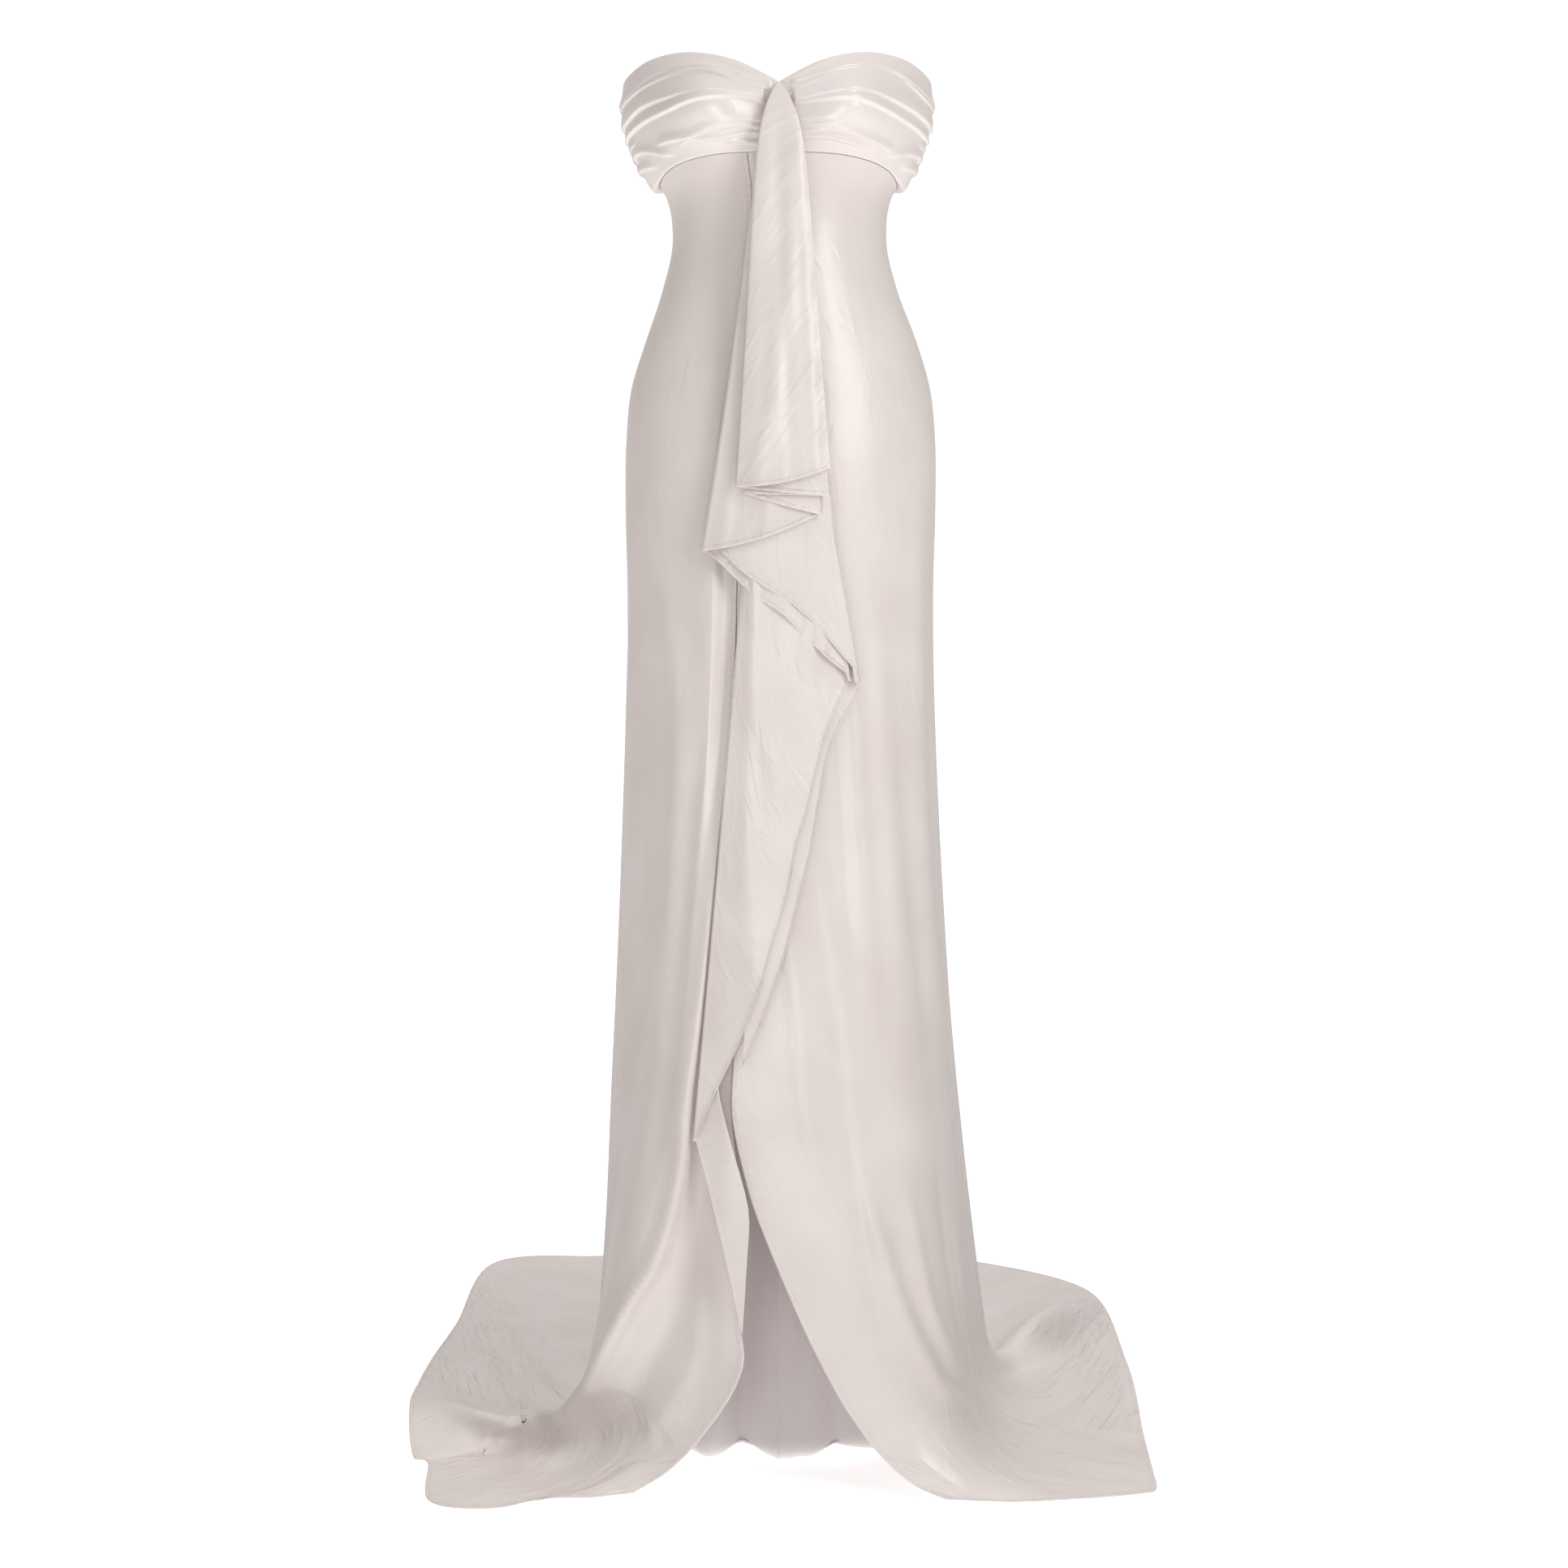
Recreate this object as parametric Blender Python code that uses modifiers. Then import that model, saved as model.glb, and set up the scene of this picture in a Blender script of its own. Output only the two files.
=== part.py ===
"""Strapless maxi dress, worn, with no wearer: ruched sweetheart bust, cascade drape, slit skirt and train.

Metres, +Z up, the front faces -Y. Heights in the tables are measured up from the train's upper face
where it lies flat, and the origin is then put where the bust holds the dress up. Left and right in names are
the wearer's, so the wearer's right is at -X. Every piece of cloth is a surface of two parameters, given
its thickness by Solidify, or by a plain inside where gathers are raised on the outside only.
"""

import math
from collections import namedtuple

import bmesh
import bpy
import numpy as np
from mathutils import Matrix, Vector

COLLECTION = "strapless_maxi_dress"
CUTTERS = "zip_helpers"

# Driving sizes
HOLD_HEIGHT = 1.450  # the bust line, where the wearer holds the dress up
HIP_HEIGHT = 0.900  # below this the skirt falls free to the floor
CLOTH = 0.0016  # wall of the skirt and the bands
DRAPE_CLOTH = 0.0011  # wall of the cascade, a single fine layer
SEAM = 0.0008  # gap between pieces that are sewn together

# The body that the cloth is cut for: a ring for each height, as reaches from its centre line
Ring = namedtuple("Ring", "height left right front back")
TORSO = (
    Ring(0.900, 0.1617, 0.1652, 0.1110, 0.1120),
    Ring(0.963, 0.1622, 0.1650, 0.1112, 0.1160),
    Ring(1.050, 0.1640, 0.1670, 0.1112, 0.1215),
    Ring(1.119, 0.1628, 0.1663, 0.1102, 0.1225),
    Ring(1.171, 0.1574, 0.1609, 0.1070, 0.1170),
    Ring(1.222, 0.1417, 0.1461, 0.1012, 0.1060),
    Ring(1.274, 0.1243, 0.1261, 0.0940, 0.0935),
    Ring(1.334, 0.1130, 0.1138, 0.0888, 0.0848),
    Ring(1.378, 0.1222, 0.1214, 0.0930, 0.0862),
    Ring(1.399, 0.1365, 0.1345, 0.0965, 0.0880),
    Ring(1.430, 0.1525, 0.1485, 0.1000, 0.0905),
    Ring(1.465, 0.1612, 0.1572, 0.1020, 0.0915),
    Ring(1.497, 0.1620, 0.1585, 0.0990, 0.0890),
    Ring(1.530, 0.1590, 0.1560, 0.0930, 0.0850),
)
CUP_SWELL = 0.0240  # how far the cut of a cup stands out at its fullest
CUP_PLACE = 0.0800  # from the centre line
CUP_HEIGHT = 1.4620
CUP_SPREAD = 0.0430
CUP_RISE = 0.0360
CUP_FRONT = 2.5  # how soon a cup's swell is full, coming round from the side
NORMAL_TURN = 0.5  # degrees and metres between the points that a normal is worked out from
NORMAL_RISE = 0.001

# Seams that run round the body, by the angle from the front
Line = namedtuple("Line", "angle height")
NECKLINE = (
    Line(0, 1.4845),
    Line(6, 1.4940),
    Line(14, 1.5050),
    Line(24, 1.5130),
    Line(36, 1.5170),
    Line(55, 1.5125),
    Line(75, 1.4995),
    Line(90, 1.4900),
    Line(120, 1.4720),
    Line(180, 1.4600),
)
UNDERBUST = (
    Line(0, 1.4140),
    Line(30, 1.4105),
    Line(45, 1.4050),
    Line(60, 1.3970),
    Line(75, 1.3885),
    Line(90, 1.3840),
    Line(180, 1.3840),
)

# The skirt: a strand of cloth for each row, from the slit's edge on the wearer's left round the back to
# the slit's edge on the right. angle is its place on the body, foot where it meets the floor, hem where
# it ends on the floor, bend how far it sweeps between the two, fall how late it leaves the body.
Strand = namedtuple("Strand", "angle foot_x foot_y hem_x hem_y bend fall")
STRANDS = (
    Strand(-13.0, 0.150, -0.118, 0.1760, -0.126, 0.060, 2.40),
    Strand(12.0, 0.172, -0.112, 0.2450, -0.133, 0.090, 1.70),
    Strand(34.0, 0.193, -0.076, 0.3180, -0.120, 0.110, 1.45),
    Strand(52.0, 0.206, 0.000, 0.3850, -0.099, 0.105, 1.40),
    Strand(60.0, 0.211, 0.040, 0.4035, -0.080, 0.100, 1.40),
    Strand(67.0, 0.216, 0.080, 0.4070, -0.010, 0.095, 1.40),
    Strand(88.0, 0.232, 0.215, 0.4120, 0.150, 0.080, 1.40),
    Strand(110.0, 0.251, 0.390, 0.4250, 0.500, 0.060, 1.45),
    Strand(128.0, 0.236, 0.420, 0.4080, 0.900, 0.060, 1.50),
    Strand(146.0, 0.168, 0.170, 0.2700, 1.095, 0.060, 1.50),
    Strand(163.0, 0.085, 0.024, 0.1200, 1.135, 0.030, 1.40),
    Strand(180.0, 0.000, 0.018, 0.0000, 1.150, 0.026, 1.30),
    Strand(197.0, -0.078, 0.022, -0.1300, 1.145, 0.030, 1.40),
    Strand(214.0, -0.148, 0.130, -0.2600, 1.125, 0.050, 1.45),
    Strand(232.0, -0.194, 0.255, -0.3960, 1.082, 0.055, 1.40),
    Strand(250.0, -0.213, 0.250, -0.4140, 0.700, 0.060, 1.25),
    Strand(270.0, -0.206, 0.200, -0.4260, 0.330, 0.070, 1.15),
    Strand(288.0, -0.207, 0.130, -0.4180, 0.150, 0.075, 1.15),
    Strand(298.0, -0.206, 0.095, -0.4035, 0.043, 0.080, 1.15),
    Strand(303.0, -0.204, 0.078, -0.3860, 0.026, 0.085, 1.18),
    Strand(317.0, -0.195, 0.030, -0.3700, -0.127, 0.100, 1.25),
    Strand(329.0, -0.180, -0.022, -0.3060, -0.158, 0.100, 1.32),
    Strand(337.0, -0.158, -0.060, -0.2440, -0.120, 0.085, 1.42),
    Strand(342.0, -0.137, -0.082, -0.1960, -0.116, 0.070, 1.60),
    Strand(346.7, -0.105, -0.104, -0.1550, -0.101, 0.060, 1.80),
)
LAST_STRAND = len(STRANDS) - 1
SIDE_LEFT = 6.0  # the side seams and the centre back seam, by their place among the strands
CENTRE_BACK = 11.0
SIDE_RIGHT = 16.0

# The slit's two free edges. Above the slit they are one seam, hidden by the cascade.
Edge = namedtuple("Edge", "height x")
LEFT_EDGE = (
    Edge(1.4138, -0.0310),
    Edge(1.2200, -0.0370),
    Edge(1.1000, -0.0405),
    Edge(0.9500, -0.0436),
    Edge(0.7000, -0.0470),
    Edge(0.4670, -0.0484),
    Edge(0.4090, -0.0500),
    Edge(0.3530, -0.0394),
    Edge(0.3180, -0.0298),
    Edge(0.2400, 0.0001),
    Edge(0.1620, 0.0345),
    Edge(0.0970, 0.0690),
    Edge(0.0446, 0.1073),
    Edge(0.0123, 0.1461),
    Edge(0.0000, 0.1762),
)
RIGHT_EDGE = (
    Edge(1.4138, -0.0316),
    Edge(1.2200, -0.0376),
    Edge(1.1000, -0.0411),
    Edge(0.9500, -0.0442),
    Edge(0.7000, -0.0476),
    Edge(0.4670, -0.0490),
    Edge(0.4090, -0.0507),
    Edge(0.3530, -0.0450),
    Edge(0.2500, -0.0415),
    Edge(0.1670, -0.0393),
    Edge(0.1449, -0.0375),
    Edge(0.1144, -0.0471),
    Edge(0.0796, -0.0686),
    Edge(0.0429, -0.0987),
    Edge(0.0228, -0.1202),
    Edge(0.0000, -0.1550),
)
LEFT_REACH = 3.0  # how many strands in from a free edge the cloth follows its curve
RIGHT_REACH = 4.2
EDGE_START = 0.12  # how far down the skirt it follows it in full
EDGE_POWER = 1.5  # how fast the cloth lets go of the edge's curve

# Folds that run down the skirt and out over the floor. A crest hangs on one strand and moves to another on
# the floor. Widths are in strands, before and after the crest, hanging and at the hem. Heights are in metres
# at the hip, at the knee, where the floor starts, out on the floor and at the hem, and lean is how far the
# crest tips towards the front for each metre of its height.
SkirtFold = namedtuple(
    "SkirtFold", "strand hem_strand before after hem_before hem_after hip knee floor sweep hem lean"
)
SKIRT_FOLDS = (
    SkirtFold(21.9, 16.8, 1.60, 0.66, 0.90, 0.66, 0.009, 0.020, 0.036, 0.040, 0.030, 0.3),  # beside the cascade
    SkirtFold(15.3, 15.6, 0.60, 0.60, 0.45, 0.45, 0.000, 0.000, 0.004, 0.018, 0.008, 0.3),  # shallow, behind it
    SkirtFold(7.45, 7.80, 0.36, 0.50, 0.36, 0.50, 0.000, 0.000, 0.008, 0.044, 0.004, 0.7),  # the left side's lip
    SkirtFold(3.40, 3.40, 1.60, 1.60, 1.60, 1.60, 0.000, 0.006, 0.010, 0.004, 0.000, 0.0),
    SkirtFold(10.2, 10.2, 0.34, 0.34, 0.34, 0.34, 0.000, 0.005, 0.020, 0.016, 0.003, 0.0),  # two at the back,
    SkirtFold(11.5, 11.5, 0.30, 0.30, 0.30, 0.30, 0.000, 0.005, 0.022, 0.016, 0.003, 0.0),  # seen in the slit
    SkirtFold(13.3, 13.3, 0.50, 0.50, 0.50, 0.50, 0.000, 0.008, 0.016, 0.012, 0.002, 0.0),
)
MOVE_START = 0.75  # a crest leaves its hanging strand here and is on its last one a stage later
LEAN_START = 0.6  # and begins to tip here
FOLD_STATIONS = (0.12, 0.36, 0.68, 1.0, 1.4, 2.0)  # where a fold starts, then where its five heights hold

# Rows of the skirt's surface: 0 at the underbust seam, 1 where the floor starts, 2 at the hem
HANG_ROWS = np.array([0.0, 0.03, 0.06, 0.10, 0.14, 0.19, 0.25, 0.32, 0.42, 0.54, 0.66, 0.77, 0.87, 0.95, 1.0])
FLOOR_ROWS = np.array([1.08, 1.17, 1.28, 1.42, 1.58, 1.74, 1.88, 2.0])
BEND_SHARE = 0.17  # a strand's turn onto the floor takes at least this share of its floor rows
COLUMNS_EACH_STRAND = 2.0
COLUMNS_AT_FOLD = 2.4  # more columns a strand at a fold's crest

# The cascade: one long pleated piece that hangs from the centre of the neckline in a zigzag. A row is a
# fold or an edge, from the tongue's free edge in front to the turned-back leaf behind, by its outermost
# line. shoulder is the share of its reach that it has just under the bust, drift bends the rest.
DrapeFold = namedtuple("DrapeFold", "name hem_x hem_height shoulder drift")
DRAPE_FOLDS = (
    DrapeFold("tongue_edge", 0.0529, 1.0863, 0.46, 1.25),
    DrapeFold("tongue_fold", -0.0442, 1.0671, 0.50, 1.40),
    DrapeFold("second_right", 0.0521, 1.0579, 0.42, 1.25),
    DrapeFold("second_left", -0.0360, 1.0600, 0.42, 1.40),
    DrapeFold("third_right", 0.0437, 1.0387, 0.42, 1.25),
    DrapeFold("third_left", -0.0802, 1.0011, 0.22, 1.35),
    DrapeFold("swing_right", 0.0742, 0.8660, 0.32, 1.90),
    DrapeFold("long_left", -0.0906, 0.3814, 0.00, 1.15),
)
# One row for each layer between two folds: how far it stands in front of the skirt at the knot and lower
# down, how far its hem bows and how late, how far it swells forward, and how many steps it has across.
DrapeLayer = namedtuple("DrapeLayer", "knot low hem_bow_x hem_bow_height late swell steps")
DRAPE_LAYERS = (
    DrapeLayer(0.0155, 0.0335, 0.000, 0.003, 1.0, 0.0055, 4),  # tongue
    DrapeLayer(0.0134, 0.0300, 0.000, 0.000, 1.0, 0.0015, 2),
    DrapeLayer(0.0113, 0.0270, 0.000, 0.000, 1.0, 0.0015, 2),
    DrapeLayer(0.0092, 0.0240, 0.000, 0.000, 1.0, 0.0012, 2),
    DrapeLayer(0.0071, 0.0205, 0.000, 0.006, 1.0, 0.0015, 3),  # second tier
    DrapeLayer(0.0050, 0.0125, 0.000, 0.004, 1.0, 0.0010, 4),  # third tier
    DrapeLayer(0.0029, 0.0080, 0.0135, -0.003, 1.6, 0.0025, 6),  # the long face
    DrapeLayer(0.0008, 0.0020, -0.018, 0.010, 1.0, 0.0000, 4),  # leaf
)
THIRD_TIER = 5
LONG_FACE = 6
SWING_FOLD = (  # the third tier's right fold, which swings out low down
    Edge(1.4820, 0.0030),
    Edge(1.4000, 0.0190),
    Edge(1.3000, 0.0290),
    Edge(1.2000, 0.0360),
    Edge(1.1000, 0.0445),
    Edge(1.0510, 0.0505),
    Edge(0.9515, 0.0555),
    Edge(0.9200, 0.0620),
    Edge(0.8870, 0.0715),
    Edge(0.8660, 0.0742),
)
LEAF_FOLD = (  # the soft roll at the leaf's inner side
    Edge(1.4820, 0.0030),
    Edge(0.9500, -0.0240),
    Edge(0.7000, -0.0400),
    Edge(0.5500, -0.0550),
    Edge(0.4900, -0.0610),
    Edge(0.4500, -0.0640),
    Edge(0.4277, -0.0625),
    Edge(0.3890, -0.0543),
    Edge(0.3546, -0.0433),
    Edge(0.3116, -0.0323),
    Edge(0.2512, -0.0340),
    Edge(0.1713, -0.0391),
)
LOW_START = 0.70  # share of the long fold's length from which the leaf hangs lower, and hems bow
KNOT_HEIGHT = 1.4820
KNOT_HALF_WIDTH = 0.0040
SHOULDER_DROP = 0.08  # share of a fold's length in which its shoulder fills out
LOW_HEIGHT = 1.0500  # by here the layers have their lower spacing
DRAPE_WRAP = 2.2  # how the drape follows the round of the body, in metres of depth for a square metre
DrapeBack = namedtuple("DrapeBack", "height y")
DRAPE_BACK = (
    DrapeBack(0.170, -0.1290),
    DrapeBack(0.350, -0.1275),
    DrapeBack(0.600, -0.1240),
    DrapeBack(0.900, -0.1190),
    DrapeBack(1.050, -0.1160),
    DrapeBack(1.150, -0.1140),
    DrapeBack(1.250, -0.1110),
    DrapeBack(1.334, -0.1090),
    DrapeBack(1.410, -0.1090),
    DrapeBack(1.450, -0.1084),
    DrapeBack(1.482, -0.1068),
)
TURN_ANGLES = (-50.0, 0.0, 50.0)
DRAPE_ROWS = np.array(
    [0, 0.02, 0.05, 0.09, 0.14, 0.20, 0.28, 0.36, 0.44, 0.52, 0.60, 0.68, 0.76, 0.83, 0.89, 0.95, 1]
)

# The cascade's facing, a second layer that wraps the third tier's right fold: it shows as a strip above
# the tier's hem and beside the long face's hem. Its rows run from a straight top, hidden by the tongue.
FACING_TOP = 1.100
FACING_TOP_LEFT = -0.0300
FACING_TOP_BACK = 0.0000
FACING_AHEAD = 0.0032  # in front of the third tier
FACING_BEHIND = 0.0035  # behind the long face
FACING_ROWS = np.array([0, 0.14, 0.28, 0.42, 0.56, 0.70, 0.84, 1])
FACING_FOLD = (
    Edge(1.1000, 0.0490),
    Edge(1.0510, 0.0555),
    Edge(0.9515, 0.0632),
    Edge(0.9200, 0.0700),
    Edge(0.8870, 0.0810),
    Edge(0.8670, 0.0840),
)
FACING_FRONT = (
    Edge(0.9990, -0.0600),
    Edge(0.9760, -0.0280),
    Edge(0.9520, 0.0020),
    Edge(0.9290, 0.0320),
    Edge(0.8960, 0.0650),
    Edge(0.8670, 0.0784),
)
FACING_BACK = (
    Edge(0.8670, 0.0784),
    Edge(0.8150, 0.0620),
    Edge(0.7700, 0.0450),
    Edge(0.6880, 0.0320),
    Edge(0.6110, 0.0135),
    Edge(0.5470, -0.0050),
    Edge(0.4580, -0.0390),
)

# The bands: gathers run from the centre knot to the side seam. A row is a fold, placed by the share of
# the band's height, down from the neckline, at the centre, at the cup and at the side.
Gather = namedtuple("Gather", "centre middle side height width")
FRONT_GATHERS = (
    Gather(0.05, 0.06, 0.06, 0.0030, 0.060),
    Gather(0.17, 0.165, 0.170, 0.0034, 0.040),
    Gather(0.31, 0.29, 0.25, 0.0040, 0.060),
    Gather(0.44, 0.43, 0.39, 0.0036, 0.042),
    Gather(0.58, 0.55, 0.53, 0.0044, 0.062),
    Gather(0.72, 0.72, 0.68, 0.0040, 0.060),
    Gather(0.87, 0.88, 0.84, 0.0040, 0.058),
)
BACK_GATHERS = (
    Gather(0.12, 0.10, 0.08, 0.0024, 0.080),
    Gather(0.34, 0.31, 0.27, 0.0028, 0.075),
    Gather(0.56, 0.54, 0.50, 0.0028, 0.075),
    Gather(0.80, 0.79, 0.76, 0.0026, 0.080),
)
BAND_LIFT = 0.0008  # the cloth's outer face between two folds
SIDE_BULK = 0.0085  # the gathered cloth that stands out at the foot of the side seam
SIDE_BULK_START = 0.72
SIDE_BULK_TOP = 0.25  # share of it that is left at the top
BACK_FLATNESS = 0.20  # share of the gathers' height that is left beside the zip
FULLNESS_RISE = 1.6  # how soon the gathers are full, going out from there

# The zip at the centre back: a tape inside, and a slider with its pull at the top outside
TAPE_WIDTH_DEGREES = 7.5  # from its middle to its edge, 12 mm
TAPE_CLOTH = 0.0008
TAPE_HEIGHTS = (1.4540, 1.4300, 1.4050)  # on the band, then at the skirt's rows
TAPE_ROWS = 6
TAPE_GAP = 0.0006
WELD = 1e-6
SLIDER_GAP = 0.0004
SLIDER_HEIGHT = 1.4475  # the axis that the pull turns on
SLIDER_PLATE = (0.0040, 0.0012, 0.0080)
BRIDGE_WIDTH = 0.0012
BRIDGE_WALL = 0.0008
BRIDGE_GAP = 0.0017  # between the plate and the bridge, where the pull's bar turns
BRIDGE_BELOW = 0.00085  # from the axis to the bridge's lower leg
BRIDGE_ABOVE = 0.00255
PULL_BAR = 0.0005  # half the height of the pull's bar
PULL_THICKNESS = 0.0008
PULL_EYE = (0.0024, 0.0040)
PULL_TOP_WIDTH = 0.0042
PULL_LOW_WIDTH = 0.0056
PULL_LENGTH = 0.0200
PULL_ROUND_TURNS = np.arange(-90, 91, 22.5)  # degrees round its lower end

SATIN = "Satin"
SATIN_COLOUR = (0.88, 0.83, 0.79)
SATIN_ROUGHNESS = 0.38
TAPE_NAME = "Tape"
TAPE_COLOUR = (0.86, 0.82, 0.78)
TAPE_ROUGHNESS = 0.8
ENAMEL = "Enamel"
ENAMEL_COLOUR = (0.87, 0.84, 0.80)
ENAMEL_ROUGHNESS = 0.3


def column(rows, name):
    """One named column of a table as an array."""
    return np.array([getattr(row, name) for row in rows], float)


def curve(at, places, values):
    """A smooth curve through a table's points, places rising: cubic between points, slopes from neighbours."""
    at = np.asarray(at, float)
    slopes = np.gradient(values, places)
    index = np.clip(np.searchsorted(places, at) - 1, 0, len(places) - 2)
    span = places[index + 1] - places[index]
    share = np.clip((at - places[index]) / span, 0, 1)
    start, end = values[index], values[index + 1]
    rise = (2 * share**3 - 3 * share**2 + 1) * start + (3 * share**2 - 2 * share**3) * end
    lean = (share**3 - 2 * share**2 + share) * slopes[index] + (share**3 - share**2) * slopes[index + 1]
    return rise + lean * span


def by_height(rows, name, height):
    """A column of a table at any height, whichever way the rows run."""
    ordered = sorted(rows, key=lambda row: row.height)
    return curve(height, column(ordered, "height"), column(ordered, name))


def smooth_step(value):
    """0 below 0, 1 above 1, and an even swing between."""
    value = np.clip(value, 0, 1)
    return value * value * (3 - 2 * value)


def around(rows, degrees):
    """The height of a seam that runs round the body, the same on both sides."""
    from_front = np.abs((np.asarray(degrees, float) + 180) % 360 - 180)
    return curve(from_front, column(rows, "angle"), column(rows, "height"))


def torso(degrees, height):
    """A point of the body's cut at an angle from the front and a height: an ellipse, and two soft cups."""
    angle = np.radians(degrees)
    side = np.where(np.sin(angle) >= 0, by_height(TORSO, "right", height), by_height(TORSO, "left", height))
    depth = np.where(np.cos(angle) >= 0, by_height(TORSO, "front", height), by_height(TORSO, "back", height))
    x = side * np.sin(angle)
    across = np.exp(-(((np.abs(x) - CUP_PLACE) / CUP_SPREAD) ** 2))
    swell = CUP_SWELL * across * np.exp(-(((height - CUP_HEIGHT) / CUP_RISE) ** 2))
    y = -depth * np.cos(angle) - swell * smooth_step(np.cos(angle) * CUP_FRONT)
    return np.stack(np.broadcast_arrays(x, y, height), axis=-1)


def torso_normals(degrees, height):
    """Unit normals of the body's cut, from points a little to each side and up and down."""
    across = torso(degrees + NORMAL_TURN, height) - torso(degrees - NORMAL_TURN, height)
    down = torso(degrees, height - NORMAL_RISE) - torso(degrees, height + NORMAL_RISE)
    normal = np.cross(down, across)
    return normal / np.linalg.norm(normal, axis=-1, keepdims=True)


def normals(grid):
    """Unit normals of a grid of points, on the side that the cloth's face is on."""
    across = np.gradient(grid, axis=0)
    down = np.gradient(grid, axis=1)
    normal = np.cross(down, across)
    return normal / np.linalg.norm(normal, axis=-1, keepdims=True)


def finish(name, kind, colour, roughness):
    """A material of one piece, with its colour and roughness."""
    material = bpy.data.materials.new(f"{kind}_{name}")
    material.use_nodes = True
    shader = material.node_tree.nodes["Principled BSDF"]
    shader.inputs["Base Color"].default_value = (*colour, 1)
    shader.inputs["Roughness"].default_value = roughness
    return material


def new_object(name, mesh, kind=SATIN, colour=SATIN_COLOUR, roughness=SATIN_ROUGHNESS):
    """Links an object with its own material, satin if nothing else is said, into the dress's collection."""
    mesh.materials.append(finish(name, kind, colour, roughness))
    mesh.shade_smooth()
    piece = bpy.data.objects.new(name, mesh)
    bpy.data.collections[COLLECTION].objects.link(piece)
    return piece


def quads(columns, rows, first=0):
    """The faces of a grid, turned so that its normals are those of normals()."""
    corner = first + np.arange(columns * rows).reshape(columns, rows)
    faces = np.stack([corner[:-1, :-1], corner[:-1, 1:], corner[1:, 1:], corner[1:, :-1]], axis=-1)
    return faces.reshape(-1, 4)


def sheet(name, grid, thickness, offset, *looks):
    """A piece of cloth: an open surface that Solidify turns into a wall."""
    grid = grid - [0, 0, HOLD_HEIGHT]
    mesh = bpy.data.meshes.new(name)
    mesh.from_pydata(grid.reshape(-1, 3).tolist(), [], quads(*grid.shape[:2]).tolist())
    piece = new_object(name, mesh, *looks)
    wall = piece.modifiers.new("Wall", "SOLIDIFY")
    wall.thickness = thickness
    wall.offset = offset
    return piece


def lofted(name, outer, inner):
    """A gathered piece: a loft between its folded outside and its plain inside, closed round its edges."""
    columns, rows = outer.shape[:2]
    count = columns * rows
    points = np.concatenate([outer.reshape(-1, 3), inner.reshape(-1, 3)]) - [0, 0, HOLD_HEIGHT]
    corner = np.arange(count).reshape(columns, rows)
    rim = np.concatenate([corner[:, 0], corner[-1, 1:], corner[-2::-1, -1], corner[0, -2:0:-1]])
    following = np.roll(rim, -1)
    edge = np.stack([rim, following, following + count, rim + count], axis=-1)
    faces = np.concatenate([quads(columns, rows), quads(columns, rows, count)[:, ::-1], edge])
    mesh = bpy.data.meshes.new(name)
    mesh.from_pydata(points.tolist(), [], faces.tolist())
    return new_object(name, mesh)


def edge_path(rows, hang_heights, floor_shares):
    """Across and height of a free edge at the skirt's rows: by height while it hangs, then along its length."""
    points = np.stack([column(rows, "x"), column(rows, "height")], axis=-1)
    length = np.concatenate([[0], np.cumsum(np.linalg.norm(np.diff(points, axis=0), axis=1))])
    hanging = np.interp(-hang_heights, -points[:, 1], length)
    sweeping = hanging[-1] + (length[-1] - hanging[-1]) * floor_shares
    along = np.concatenate([hanging, sweeping])
    return curve(along, length, points[:, 0]), curve(along, length, points[:, 1])


def strand_points(place, hang, floor):
    """Points down the strands at the given places: on the body, falling free, then sweeping to the hem.

    Over the floor a strand is a parabola that starts down, turns round its foot within its bend, and runs
    on straight to the hem.
    """
    index = np.arange(len(STRANDS), dtype=float)
    angle, foot_x, foot_y, hem_x, hem_y, bend, fall = (
        curve(place, index, column(STRANDS, name))[:, None] for name in Strand._fields
    )
    top = around(UNDERBUST, angle) - SEAM
    height = top + (bend - top) * hang
    on_body = torso(angle, np.maximum(height, HIP_HEIGHT))
    share = np.clip((HIP_HEIGHT - height) / HIP_HEIGHT, 0, 1) ** fall
    x = on_body[..., 0] + (foot_x - on_body[..., 0]) * share
    y = on_body[..., 1] + (foot_y - on_body[..., 1]) * share
    hanging = np.stack([x, y, height], axis=-1)
    foot = np.concatenate([foot_x, foot_y, 0 * foot_x], axis=-1)[:, None]
    hem = np.concatenate([hem_x, hem_y, 0 * hem_x], axis=-1)[:, None]
    run = np.linalg.norm(hem - foot, axis=-1, keepdims=True)
    turn = np.minimum(bend[..., None] / run, 1.0)
    after = foot + (hem - foot) * turn
    turning = np.maximum(turn, BEND_SHARE)
    part = np.clip(floor[None, :, None] / turning, 0, 1)
    sweep = (1 - part) ** 2 * hanging[:, -1:] + 2 * part * (1 - part) * foot + part**2 * after
    onwards = np.clip((floor[None, :, None] - turning) / np.maximum(1 - turning, WELD), 0, 1)
    return np.concatenate([hanging, sweep + (hem - after) * onwards], axis=1)


def fold_height(fold, stage):
    """How high a fold stands along the skirt, from nothing at the waist to its last height at the hem."""
    return np.interp(stage, FOLD_STATIONS, [0.0, fold.hip, fold.knee, fold.floor, fold.sweep, fold.hem])


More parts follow.
